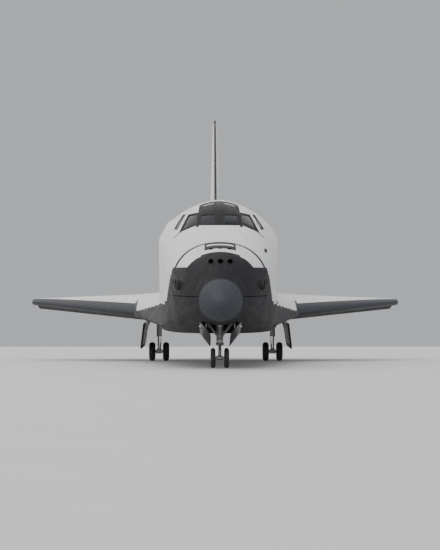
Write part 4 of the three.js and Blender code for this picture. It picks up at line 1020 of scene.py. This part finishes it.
def make_nose_door():
    """A door hanging open from its upper edge, with ribs and arms on its inner face."""
    hinge = NOSE_WELL["half"] + 0.6
    inward, drop, outer = NOSE_DOOR["inward"], NOSE_DOOR["drop"], hinge + NOSE_DOOR["thickness"]

    def section(y, share):
        top = belly_z(outer, y)
        low = top - drop * share
        return [(hinge, y, top + 1), (outer, y, top + 1), (outer - inward * share, y, low),
                (hinge - inward * share, y, low)]

    panel = cut(door_panel(NOSE_DOOR, drop, 25, section), body_solid(276, 410, -SEAT))
    front, back = NOSE_DOOR["y"][0] + 6, NOSE_DOOR["y"][1] - 6
    ribs = []
    for y in np.linspace(front, back, 8):
        top = belly_z(hinge, y)
        low = (hinge - inward * 0.9, y, top - drop * 0.88)
        ribs.append(rod((hinge - 0.9, y, top - 2), low, 0.7, 0.5, sides=12))
    for share in (0.35, 0.8):
        x = hinge - inward * share - 0.4
        ends = [(x, y, belly_z(hinge, y) - drop * share) for y in (front, back)]
        ribs.append(rod(*ends, 0.6, sides=12))
    wall = NOSE_WELL["half"] - SEAT
    for y in NOSE_DOOR["arms"]:
        top = belly_z(hinge, y) - 0.8
        neck = [(hinge - 4, top - 3), (hinge + 0.8, top - 3), (hinge + 0.8, top - 1.2), (wall, top - 0.6),
                (wall, top + 12), (hinge - 4, top + 12)]
        ribs.append(plate("front", neck, (y - 2, y + 2)))
        foot = (hinge - inward * 0.55, y, top - drop * 0.5)
        ribs.append(rod(foot, (hinge - 10, y, top + 4), 1.0, sides=16))
    return panel, gathered(*ribs)


def make_main_door():
    """A door hanging open at the well's outer side, with ribs and arms on its inner face."""
    hinge, top, outward = MAIN_DOOR["hinge"], MAIN_DOOR["top"], MAIN_DOOR["outward"]
    drop, outer = top - MAIN_DOOR["foot"], hinge + MAIN_DOOR["thickness"]

    def section(y, share):
        low = top - drop * share
        return [(hinge, y, top), (outer, y, top), (outer + outward * share, y, low),
                (hinge + outward * share, y, low)]

    panel = door_panel(MAIN_DOOR, drop, 33, section)
    front, back = MAIN_DOOR["y"][0] + 10, MAIN_DOOR["y"][1] - 10
    ribs = []
    for y in np.linspace(front, back, 8):
        low = (hinge + outward * 0.85 - 0.6, y, top - drop + 9)
        ribs.append(rod((hinge - 0.6, y, top - 4), low, 1.1, 0.8, sides=12))
    for share in (0.3, 0.72):
        x, z = hinge + outward * share - 0.7, top - drop * share
        ribs.append(rod((x, front, z), (x, back, z), 1.0, sides=12))
    wall = MAIN_WELL["x"][1] - SEAT
    neck = [(wall - 5, top - 6), (hinge + 1.5, top - 6), (hinge + 1.5, top - 1), (wall, top),
            (wall, top + 22), (wall - 5, top + 22)]
    for y in MAIN_DOOR["arms"]:
        ribs.append(plate("front", neck, (y - 2.5, y + 2.5)))
        ribs.append(rod((hinge + outward * 0.5, y, top - 30), (wall - 6, y, top + 14), 1.5, sides=16))
    return panel, gathered(*ribs)


# Materials. A Value is a number worked out at each point of a surface, and sums of values make nodes.


class Value:
    """+ - * / and abs work as usual, > and < give 1 or 0, & is the smaller and | the larger."""

    OPERATIONS = {
        "__add__": "ADD", "__sub__": "SUBTRACT", "__mul__": "MULTIPLY", "__truediv__": "DIVIDE",
        "__gt__": "GREATER_THAN", "__lt__": "LESS_THAN", "__and__": "MINIMUM", "__or__": "MAXIMUM",
        "__abs__": "ABSOLUTE",
    }

    def __init__(self, surface, socket):
        self.surface = surface
        self.socket = socket

    def work(self, operation, *others):
        return self.surface.math(operation, self, *others)

    def away(self):
        """1 where this is 0, and 0 where it is 1."""
        return self.surface.math("SUBTRACT", 1.0, self)

    def snapped(self, step):
        """The middle of the tile that this lies in."""
        return (self / step).work("FLOOR") * step + step / 2

    def edge(self):
        """How far this is from a whole number, 0 to 0.5."""
        part = self.work("FRACT")
        return part & part.away()

    def ramp(self, low, high, first, second):
        node = self.surface.node("ShaderNodeMapRange")
        self.surface.feed(node.inputs["Value"], self)
        for index, number in enumerate((low, high, first, second), 1):
            self.surface.feed(node.inputs[index], number)
        return Value(self.surface, node.outputs["Result"])


def operator(operation):
    return lambda value, *others: value.work(operation, *others)


for name, operation in Value.OPERATIONS.items():
    setattr(Value, name, operator(operation))


class Surface:
    """One material, and the station coordinates that its patterns are laid out in."""

    def __init__(self, name):
        self.material = bpy.data.materials.new(name)
        self.material.use_nodes = True
        self.tree = self.material.node_tree
        self.tree.nodes.clear()
        place = self.node("ShaderNodeTexCoord")
        turn = self.node("ShaderNodeMapping")
        turn.inputs["Scale"].default_value = (1 / INCH,) * 3
        turn.inputs["Rotation"].default_value = (-GROUND_ANGLE, 0, 0)
        turn.inputs["Location"].default_value = PLACE.inverted().translation
        self.tree.links.new(place.outputs["Object"], turn.inputs["Vector"])
        self.station = turn.outputs["Vector"]
        self.x, self.y, self.z = self.parts(self.station)
        self.side, _, self.up = self.parts(place.outputs["Normal"])

    def node(self, kind):
        return self.tree.nodes.new(kind)

    def feed(self, socket, value):
        if isinstance(value, Value):
            value = value.socket
        if isinstance(value, bpy.types.NodeSocket):
            self.tree.links.new(value, socket)
        elif isinstance(value, tuple) and len(value) == 3 and socket.type == "RGBA":
            socket.default_value = (*value, 1.0)
        else:
            socket.default_value = value

    def parts(self, vector):
        node = self.node("ShaderNodeSeparateXYZ")
        self.feed(node.inputs[0], vector)
        return [Value(self, node.outputs[i]) for i in range(3)]

    def vector(self, *values):
        node = self.node("ShaderNodeCombineXYZ")
        for socket, value in zip(node.inputs, values):
            self.feed(socket, value)
        return node.outputs[0]

    def math(self, operation, *values):
        node = self.node("ShaderNodeMath")
        node.operation = operation
        for socket, value in zip(node.inputs, values):
            self.feed(socket, value)
        return Value(self, node.outputs[0])

    def noise(self, vector, size, detail):
        """Soft noise about 0.5, with features of a size in inches."""
        node = self.node("ShaderNodeTexNoise")
        self.feed(node.inputs["Vector"], vector)
        for socket, value in (("Scale", 1 / size), ("Detail", detail), ("Roughness", 0.55)):
            self.feed(node.inputs[socket], value)
        return Value(self, node.outputs[0])

    def chance(self, vector):
        """A random number for each whole place."""
        node = self.node("ShaderNodeTexWhiteNoise")
        self.feed(node.inputs["Vector"], vector)
        return Value(self, node.outputs["Value"])

    def blend(self, share, first, second, kind="MIX"):
        node = self.node("ShaderNodeMix")
        node.data_type, node.blend_type = "RGBA", kind
        for index, value in ((0, share), (6, first), (7, second)):
            self.feed(node.inputs[index], value)
        return node.outputs[2]

    def tint(self, colour, strength):
        """A colour made lighter or darker by a value."""
        grey = self.node("ShaderNodeCombineColor")
        for socket in grey.inputs[:3]:
            self.feed(socket, strength)
        return self.blend(1.0, colour, grey.outputs[0], "MULTIPLY")

    def bump(self, height, distance, strength):
        node = self.node("ShaderNodeBump")
        self.feed(node.inputs["Height"], height)
        node.inputs["Distance"].default_value = distance * INCH
        node.inputs["Strength"].default_value = strength
        return node.outputs[0]

    def finish(self, **values):
        shader = self.node("ShaderNodeBsdfPrincipled")
        for name, value in values.items():
            self.feed(shader.inputs[name.replace("_", " ")], value)
        output = self.node("ShaderNodeOutputMaterial")
        self.tree.links.new(shader.outputs[0], output.inputs[0])
        return self.material


WHITE = (0.70, 0.71, 0.72)
WHITE_WARM = (0.60, 0.585, 0.56)
BLANKET = (0.72, 0.72, 0.715)
BLACK = (0.012, 0.012, 0.015)
BLACK_WORN = (0.04, 0.038, 0.037)
JOINT_GREY = (0.24, 0.235, 0.23)
LINER = (0.55, 0.56, 0.53)
BLACK_TILE = 6


def tile_grid(s, u, v, size, joint):
    """A random number for each tile, and 1 in the joints between them."""
    column, row = u / size, v / size
    chance = s.chance(s.vector(column.work("FLOOR"), row.work("FLOOR"), 0.5))
    seam = ((column.edge() & row.edge()) * size) < joint
    return chance, seam


DOME = {"radius": 95, "centre": 415}


def skin_place(s):
    """How far round the fuselage a point is, in inches."""
    round_dome = s.math("ARCTAN2", abs(s.x), s.z - DOME["centre"]) * DOME["radius"]
    beside = abs(s.side) > 0.8
    below = (s.up < -0.55) & (s.z < 330)
    flat = below * abs(s.x) + below.away() * round_dome
    return beside * s.z + beside.away() * flat


def mixed(share, first, second):
    return share.away() * first + share * second


def white_tiles(s, u, v, wear, size):
    """Colour and height of white tiles."""
    chance, seam = tile_grid(s, u, v, size, 0.11)
    worn = (chance > 0.93) * 0.5
    colour = s.blend(wear["streaks"].ramp(0.5, 0.8, 0, 0.55) | worn, WHITE, WHITE_WARM)
    colour = s.tint(colour, chance * 0.09 + wear["drift"] * 0.12 + 0.86)
    height = seam.away() * 0.5 + chance * 0.12 + wear["fine"] * 0.05
    return s.blend(seam * 0.75, colour, JOINT_GREY), height


def blankets(s, u, v, wear):
    """Colour and height of quilted blankets, in panels 30 inches wide."""
    quilt = ((u / 1.25).edge() & (v / 1.25).edge()).ramp(0, 0.28, 0, 1)
    chance, seam = tile_grid(s, u, v, 30, 0.3)
    colour = s.blend(wear["streaks"].ramp(0.5, 0.85, 0, 0.5), BLANKET, WHITE_WARM)
    colour = s.tint(colour, chance * 0.06 + wear["drift"] * 0.14 + quilt * 0.05 + 0.82)
    height = quilt * 0.35 + seam.away() * 0.35 + wear["drift"] * 0.5
    return s.blend(seam * 0.6, colour, JOINT_GREY), height


def black_tiles(s, u, v, wear):
    """Colour, height and roughness of black tiles."""
    chance, seam = tile_grid(s, u, v, BLACK_TILE, 0.1)
    worn = wear["streaks"].ramp(0.55, 0.9, 0, 0.5) | ((chance > 0.9) * 0.3)
    colour = s.tint(s.blend(worn, BLACK, BLACK_WORN), chance * 0.5 + wear["drift"] * 0.3 + 0.6)
    height = seam.away() * 0.5 + chance * 0.15 + wear["fine"] * 0.04
    rough = chance * 0.2 + wear["drift"] * 0.2 + 0.4
    return s.blend(seam * 0.8, colour, (0.008, 0.008, 0.008)), height, rough


def tile_surface(name, black=None, place=None, white_size=8.0, blanket=None, inside=None):
    """White tiles, blankets and black tiles. True means all over, and a function says where."""
    s = Surface(name)
    u, v = place(s) if place else (skin_place(s), s.y)
    wear = {
        "drift": s.noise(s.station, 60, 4),
        "streaks": s.noise(s.vector(s.x / 7, s.y / 90, s.z / 7), 1.0, 4),
        "fine": s.noise(s.station, 1.3, 4),
    }
    gloss = 0.25
    if black is True:
        colour, height, rough = black_tiles(s, u, v, wear)
    else:
        colour, height = (blankets(s, u, v, wear) if blanket is True
                          else white_tiles(s, u, v, wear, white_size))
        rough = wear["streaks"] * 0.2 + 0.62
        gloss = 0.5
    if callable(blanket):
        soft = blanket(s)
        cloth, cloth_height = blankets(s, u, v, wear)
        colour = s.blend(soft, colour, cloth)
        height = mixed(soft, height, cloth_height)
    if callable(black):
        dark, dark_height, dark_rough = black_tiles(s, u, v, wear)
        share = black(s)
        colour = s.blend(share, colour, dark)
        height = mixed(share, height, dark_height)
        rough = mixed(share, rough, dark_rough)
        gloss = share.ramp(0, 1, 0.5, 0.25)
    if inside:
        lining = s.tint(LINER, wear["fine"] * 0.15 + wear["drift"] * 0.2 + 0.8)
        colour = s.blend(inside(s), colour, lining)
    return s.finish(Base_Color=colour, Roughness=rough, Specular_IOR_Level=gloss,
                    Normal=s.bump(height, 0.1, 0.9))


def stepped(s):
    """The middle of the black tile that a point of the side lies in."""
    return s.y.snapped(BLACK_TILE), s.z.snapped(BLACK_TILE)


def inside_outline(s, outline, margin):
    """1 inside an outline of the front view, on either side, grown by a margin."""
    inside = None
    area = sum(a[0] * b[1] - b[0] * a[1] for a, b in zip(outline, outline[1:] + outline[:1]))
    across = abs(s.x)
    for (x0, z0), (x1, z1) in zip(outline, outline[1:] + outline[:1]):
        length = math.hypot(x1 - x0, z1 - z0) * (1 if area > 0 else -1)
        right, up = (z1 - z0) / length, (x0 - x1) / length
        near = ((across - x0) * right + (s.z - z0) * up) < margin
        inside = near if inside is None else inside & near
    return inside


# The black areas of the cabin, in stations, measured in the photograph's front view.
PATCH = {"back": 366, "flat": 30, "top": 407.6, "shoulder": 399.9}
UPWARD_PATCH = {"half": 24.5, "front": 326, "white_half": 21, "white": (345, 353)}
BLOCK = {"foot": 454.8, "foot_beside": 452, "beside": 34, "back": 539.5}
CREASE = [(60, 447.5), (76, 433.5), (76, 435.1), (60, 449.1)]
TRACKER = (75.5, 412.5)


def side_line(y):
    """Where white meets black on the cabin's side: level, then down in a curve behind the module."""
    return (y.ramp(376, 426, 376, 328) - y.ramp(426, CABIN_END, 0, 8)) | ((y < 376) * 382)


def module_black(s, across):
    """The patch round the upward thrusters, with its white strip, and the dark seam behind."""
    upward = (across < UPWARD_PATCH["half"]) & (s.y > UPWARD_PATCH["front"]) & (s.z > 400)
    front, back = UPWARD_PATCH["white"]
    strip = (across < UPWARD_PATCH["white_half"]) & (s.y > front) & (s.y < back)
    seam = s.y > across.ramp(24, 88, 360.5, 354)
    inside = (s.y < THRUSTER_MODULE["end"] + 0.6) & (s.z > THRUSTER_MODULE["bottom"])
    return (upward & strip.away() | seam) & inside


def window_black(s, across):
    """The block of black tiles round the front and overhead windows, and the others' edges."""
    foot = (across > BLOCK["beside"]) * (BLOCK["foot_beside"] - BLOCK["foot"]) + BLOCK["foot"]
    block_area = (s.z > foot) & (across < s.z.ramp(452, 493, 39, 34)) & (s.y < BLOCK["back"])
    middle = inside_outline(s, PANES["middle"], 2.2)
    side = inside_outline(s, PANES["side"], 0.8)
    return (block_area | middle | side | inside_outline(s, CREASE, 0)) & (s.z > 425) & (s.y < 560)


def cabin_black(s):
    """Black tiles low on the nose, round the thrusters and round the windows, and small dark marks."""
    across = abs(s.x)
    y, z = stepped(s)
    beyond = across - PATCH["flat"]
    slope = beyond * -0.3 - beyond * beyond * 0.0228 + PATCH["shoulder"]
    crown = across * across * -0.006 + PATCH["top"]
    top = (across < PATCH["flat"]) * crown | (across > PATCH["flat"]) * slope
    patch = s.z < top * (s.y < PATCH["back"])
    tracker = (abs(s.x - TRACKER[0]) < 2.6) & (abs(s.z - TRACKER[1]) < 3.4) & (s.y < 440)
    dark = (z < side_line(y)) | patch | module_black(s, across) | window_black(s, across)
    return dark | tracker | (s.up < -0.6)


def forward_blanket(s):
    return (s.y.snapped(8) + s.z.snapped(8) * 0.6) > 755


def bay_black(s):
    y, z = stepped(s)
    return (z < y.ramp(CABIN_END, 800, 320, 300)) & ((s.up < 0.3) | (s.z < 296))


def aft_black(s):
    y, z = stepped(s)
    return z < y.ramp(1387, BODY_END, 300, 312)


def bay_inside(s):
    return (abs(s.x) < TROUGH_HALF + 1) & (s.z > TROUGH_Z - 2)


def plan_place(s):
    return s.x, s.y


def side_place(s):
    return s.z, s.y


def wing_black(s):
    """Black below, round the glove's leading edge, and along the elevons' trailing edges."""
    across = abs(s.x)
    trailing = (s.y + across * 0.176) > 1516
    glove = (s.z.snapped(3) < (across * -0.336 + 355)) & (s.y < 1040)
    return (s.up < 0.05) | glove | trailing


def fin_black(s):
    """Black along the leading edge, the tip and the trailing edge."""
    front, back = s.y - fin_line("front", s.z), s.y - fin_line("back", s.z)
    return (front < 20) | (s.z > 812) | (back > -7)


def pod_black(s):
    y, z = stepped(s)
    return ((y < 1326) & (z > 470)) | (y > 1540)


def carbon_surface(name):
    s = Surface(name)
    mottle = s.noise(s.station, 3, 5)
    fine = s.noise(s.station, 0.5, 3)
    weave = (s.x / 0.9).edge() * (s.z / 0.9).edge()
    colour = s.blend(mottle.ramp(0.35, 0.7, 0, 1), (0.03, 0.033, 0.041), (0.047, 0.05, 0.06))
    ring = (s.y > NOSE_CAP_END - 2.5) & (s.y < NOSE_CAP_END + 1)
    height = fine * 0.3 + mottle * 0.3 + weave
    return s.finish(Base_Color=s.blend(ring, colour, BLACK), Roughness=mottle * 0.2 + 0.45,
                    Specular_IOR_Level=0.3, Normal=s.bump(height, 0.04, 0.5))


def glass_surface(name):
    s = Surface(name)
    haze = s.noise(s.station, 4, 3)
    return s.finish(
        Base_Color=s.blend(haze, (0.01, 0.011, 0.015), (0.03, 0.033, 0.042)),
        Roughness=haze * 0.08 + 0.05,
        Transmission_Weight=0.2,
        Specular_IOR_Level=0.1,
        Normal=s.bump(haze, 0.02, 0.2),
    )


# Metals: the material's name, two colours, roughness, how metallic, size of the stains, and how
# many tubes run round a bell.
METALS = {
    "frame": ("window_frame", (0.012, 0.012, 0.014), (0.03, 0.03, 0.03), 0.4, 0.2, 3, 0),
    "bell": ("bell_metal", (0.3, 0.27, 0.24), (0.17, 0.145, 0.13), 0.28, 1, 8, 220),
    "nozzle": ("nozzle_metal", (0.2, 0.18, 0.17), (0.1, 0.09, 0.085), 0.35, 1, 4, 0),
    "paint": ("gear_white_paint", (0.62, 0.63, 0.63), (0.45, 0.44, 0.42), 0.32, 0.1, 3, 0),
    "chrome": ("polished_piston", (0.75, 0.75, 0.76), (0.6, 0.6, 0.6), 0.08, 1, 3, 0),
    "steel": ("gear_steel", (0.4, 0.4, 0.41), (0.24, 0.235, 0.23), 0.3, 1, 3, 0),
    "liner": ("thruster_metal", (0.03, 0.028, 0.027), (0.012, 0.011, 0.01), 0.5, 0.5, 2, 0),
}
# The middle of the lower engines, across and up.
BELL_CENTRE = (53, 343)


def metal_surface(name, colour, other, rough, metallic, size, tubes):
    """Bare or painted metal with stains, scratches and, on engine bells, fine tubes."""
    s = Surface(name)
    stain = s.noise(s.station, size * 4, 5)
    scratch = s.noise(s.vector(s.x / 0.3, s.y / 0.3, s.z / 5), 1.0, 2)
    tone = s.blend(stain.ramp(0.35, 0.7, 0, 1), colour, other)
    height = scratch * 0.3 + stain * 0.2
    if tubes:
        across, up = BELL_CENTRE
        turn = s.math("ARCTAN2", s.x.work("PINGPONG", across), s.z - up) * tubes
        height = height + turn.work("SINE")
    return s.finish(
        Base_Color=s.tint(tone, scratch * 0.3 + 0.8),
        Metallic=metallic,
        Roughness=stain * 0.25 + rough,
        Normal=s.bump(height, 0.05, 0.5),
    )


def rubber_surface(name):
    s = Surface(name)
    dust = s.noise(s.station, 5, 5)
    fine = s.noise(s.station, 0.6, 3)
    colour = s.blend(dust.ramp(0.45, 0.8, 0, 1), (0.018, 0.018, 0.018), (0.06, 0.056, 0.05))
    return s.finish(Base_Color=colour, Roughness=fine * 0.2 + 0.68, Normal=s.bump(fine, 0.05, 0.5))


def radiator_surface(name):
    s = Surface(name)
    tube = (s.y / 2.0).edge().ramp(0, 0.12, 0, 1)
    drift = s.noise(s.station, 40, 3)
    return s.finish(
        Base_Color=s.tint((0.72, 0.74, 0.76), drift * 0.2 + tube * 0.1 + 0.75),
        Metallic=0.75,
        Roughness=drift * 0.2 + 0.18,
        Normal=s.bump(tube, 0.06, 0.5),
    )


def interior_surface(name, colour):
    s = Surface(name)
    fine = s.noise(s.station, 0.8, 3)
    drift = s.noise(s.station, 20, 4)
    panel = ((s.x / 9).edge() & (s.z / 9).edge()) < 0.02
    tone = s.tint(colour, fine * 0.2 + drift * 0.3 + 0.7)
    return s.finish(Base_Color=s.blend(panel * 0.6, tone, (0.05, 0.05, 0.05)), Roughness=fine * 0.2 + 0.5,
                    Normal=s.bump(panel.away() + fine * 0.2, 0.06, 0.6))


def make_materials():
    looks = {
        "cabin": tile_surface("cabin_tiles", cabin_black, white_size=7.0, blanket=forward_blanket),
        "bay": tile_surface("bay_side_blankets", bay_black, blanket=True, inside=bay_inside),
        "door": tile_surface("door_blankets", blanket=True),
        "aft": tile_surface("aft_blankets", aft_black, blanket=True),
        "shield": tile_surface("shield_tiles", True, place=lambda s: (s.x, s.z)),
        "pod": tile_surface("pod_blankets", pod_black, place=side_place, blanket=lambda s: s.y > 1400),
        "fin": tile_surface("fin_tiles", fin_black, place=side_place, blanket=lambda s: s.z > 640),
        "wing": tile_surface("wing_tiles", wing_black, place=plan_place, blanket=True),
        "elevon": tile_surface("elevon_tiles", wing_black, place=plan_place),
        "flap": tile_surface("flap_tiles", True, place=plan_place),
        "gear_door": tile_surface("gear_door_tiles", True, place=side_place),
        "carbon": carbon_surface("reinforced_carbon"),
        "glass": glass_surface("window_glass"),
        "rubber": rubber_surface("tyre_rubber"),
        "radiator": radiator_surface("radiator_silver"),
        "interior": interior_surface("cabin_panels", (0.3, 0.31, 0.33)),
    }
    for look, metal in METALS.items():
        looks[look] = metal_surface(*metal)
    return looks


def dress_frame_nodes(looks):
    """Materials and shading for the frame's own solids that stay in view."""
    kept = {
        "flight_deck": "interior", "cabin_rear_wall": "interior", "rear_window_glass": "glass",
        "body_flap": "flap", "rudder_shaft": "steel",
    }
    for side in ("left", "right"):
        kept[f"rudder_{side}"] = "fin"
        for place in ("inner", "outer"):
            kept[f"elevon_{place}_{side}"] = "elevon"
    for name, look in kept.items():
        shade(frame["nodes"][name].data, looks[look], 35)


def build(looks):
    piece("nose_cap_surface", make_nose_cap(), looks["carbon"], slot="carbon", replaces=["nose_cap"])
    piece("thruster_module_skin", make_thruster_module(), looks["cabin"],
          replaces=["forward_thruster_module"])
    piece("thruster_liners", make_thruster_liners(), looks["liner"], slot="engine_metal")
    piece("cabin_skin", make_cabin_skin(), looks["cabin"], replaces=["forward_fuselage"])
    for which, outline in PANES.items():
        pane, lip = make_glass(lambda margin, corners=outline: skin_prism(corners, margin))
        nodes = ["windshield_pane_" + which + "_{}"]
        pair(f"windshield_{which}", pane, looks["glass"], slot="glass", replaces=nodes)
        pair(f"window_frame_{which}", lip, looks["frame"], slot="black_tile")
    pane, lip = make_glass(overhead_hole)
    pair("overhead_glass", pane, looks["glass"], slot="glass", replaces=["overhead_window_{}"])
    pair("window_frame_overhead", lip, looks["frame"], slot="black_tile")
    piece("crew_hatch", make_hatch(), looks["cabin"], body="side_hatch", replaces=["side_hatch"])
    piece("crew_hatch_glass", make_hatch_glass(), looks["glass"], body="side_hatch", slot="glass",
          replaces=["hatch_window"])
    piece("bay_skin", make_bay(), looks["bay"], replaces=["mid_fuselage"])
    pair("bay_door_skin", make_bay_door(), looks["door"], body="bay_door_{}", replaces=["bay_door_{}"])
    pair("radiator_panels", make_radiator(), looks["radiator"], body="bay_door_{}", slot="radiator_face",
         replaces=["radiator_{}"])
    piece("aft_skin", make_aft(), looks["aft"], replaces=["aft_fuselage"])
    piece("heat_shield_tiles", make_heat_shield(), looks["shield"], slot="black_tile",
          replaces=["base_heat_shield"])
    for which, origin, pitch, yaw, _ in ENGINES:
        piece(f"engine_bell_{which}", make_bell(origin, direction(pitch, yaw)), looks["bell"],
              slot="engine_metal", replaces=[f"main_engine_{which}"])
    pair("pod_skin", make_pod(), looks["pod"], replaces=["engine_pod_{}"])
    pair("pod_bell", make_pod_nozzle(), looks["nozzle"], slot="engine_metal", replaces=["pod_nozzle_{}"])
    piece("fin_skin", make_fin(), looks["fin"], replaces=["vertical_fin"])
    pair("wing_skin", make_wing(), looks["wing"], replaces=["wing_{}"])
    pair("leading_edge_panels", make_leading_edge(), looks["carbon"], slot="carbon",
         replaces=["wing_leading_edge_{}"])
    build_gear(looks)


def build_gear(looks):
    pair("main_leg_fittings", make_main_leg(), looks["paint"], slot="gear_paint",
         replaces=["main_leg_{}"], sharp=35)
    pair("main_piston", make_main_piston(), looks["chrome"], slot="gear_metal")
    place = gear_frame(MAIN_GEAR)
    pair("main_wheel_hubs", moved(make_hubs(MAIN_GEAR), place), looks["steel"], body="main_wheels_{}",
         slot="gear_metal", replaces=["main_hubs_{}"])
    for which, side in (("outer", 1), ("inner", -1)):
        pair(f"main_tyre_{which}_rubber", moved(make_tyre(MAIN_GEAR, side), place), looks["rubber"],
             body="main_wheels_{}", slot="tyre", replaces=["main_tyre_" + which + "_{}"])
    piece("nose_leg_fittings", make_nose_leg(), looks["paint"], slot="gear_paint",
          replaces=["nose_leg"], sharp=35)
    piece("nose_piston", make_nose_steering(), looks["steel"], body="nose_steering", slot="gear_metal",
          replaces=["nose_steering"])
    place = gear_frame(NOSE_GEAR)
    piece("nose_wheel_hubs", moved(make_hubs(NOSE_GEAR), place), looks["steel"], body="nose_wheels",
          slot="gear_metal", replaces=["nose_hubs"])
    for which, side in (("left", 1), ("right", -1)):
        piece(f"nose_tyre_{which}_rubber", moved(make_tyre(NOSE_GEAR, side), place), looks["rubber"],
              body="nose_wheels", slot="tyre", replaces=[f"nose_tyre_{which}"])
    for which, (panel, ribs) in (("nose", make_nose_door()), ("main", make_main_door())):
        pair(f"{which}_door_panel", panel, looks["gear_door"], slot="black_tile",
             replaces=[which + "_gear_door_{}"], rounded=0.3)
        pair(f"{which}_door_ribs", ribs, looks["paint"], slot="gear_paint")


# Floor, lights and camera.

FLOOR_SIZE = 6000
CAMERA = {"place": (-0.466, -53.947, 0.871), "yaw": 0.688, "pitch": 4.18, "lens": 63.92}


def make_floor():
    half = FLOOR_SIZE / 2
    corners = [(-half, -half, 0), (half, -half, 0), (half, half, 0), (-half, half, 0)]
    mesh = bpy.data.meshes.new("floor")
    mesh.from_pydata(corners, [], [(0, 1, 2, 3)])
    floor = added("floor", mesh)
    s = Surface("pale_floor")
    grain = s.noise(s.station, 30, 5)
    colour = s.blend(grain, (0.56, 0.56, 0.56), (0.62, 0.62, 0.615))
    pale = s.finish(Base_Color=colour, Roughness=grain * 0.2 + 0.6, Normal=s.bump(grain, 0.1, 0.2))
    mesh.materials.append(pale)


def make_lights():
    """Three wide suns. Columns: name, degrees, strength, spread in degrees, colour."""
    suns = (
        ("key", (52, 0, -38), 2.4, 80, (1.0, 0.98, 0.95)),
        ("fill", (62, 0, 48), 0.9, 90, (0.93, 0.96, 1.0)),
        ("rim", (-50, 0, 20), 1.2, 80, (1.0, 0.97, 0.92)),
    )
    for name, degrees, strength, spread, colour in suns:
        light = bpy.data.lights.new(name, "SUN")
        light.energy, light.angle, light.color = strength, math.radians(spread), colour
        added(name, light).rotation_euler = [math.radians(angle) for angle in degrees]
    world = bpy.data.worlds.new("studio")
    world.use_nodes = True
    sky = world.node_tree.nodes["Background"]
    sky.inputs["Color"].default_value = (0.88, 0.9, 0.93, 1)
    sky.inputs["Strength"].default_value = 0.55
    bpy.context.scene.world = world


def make_camera():
    data = bpy.data.cameras.new("camera")
    data.lens, data.sensor_width = CAMERA["lens"], 36
    data.clip_end = 10000
    camera = added("camera", data)
    camera.location = CAMERA["place"]
    camera.rotation_euler = [math.radians(angle) for angle in (90 + CAMERA["pitch"], 0, -CAMERA["yaw"])]
    bpy.context.scene.camera = camera


make_camera()
make_lights()
make_floor()
materials = make_materials()
build(materials)
dress_frame_nodes(materials)
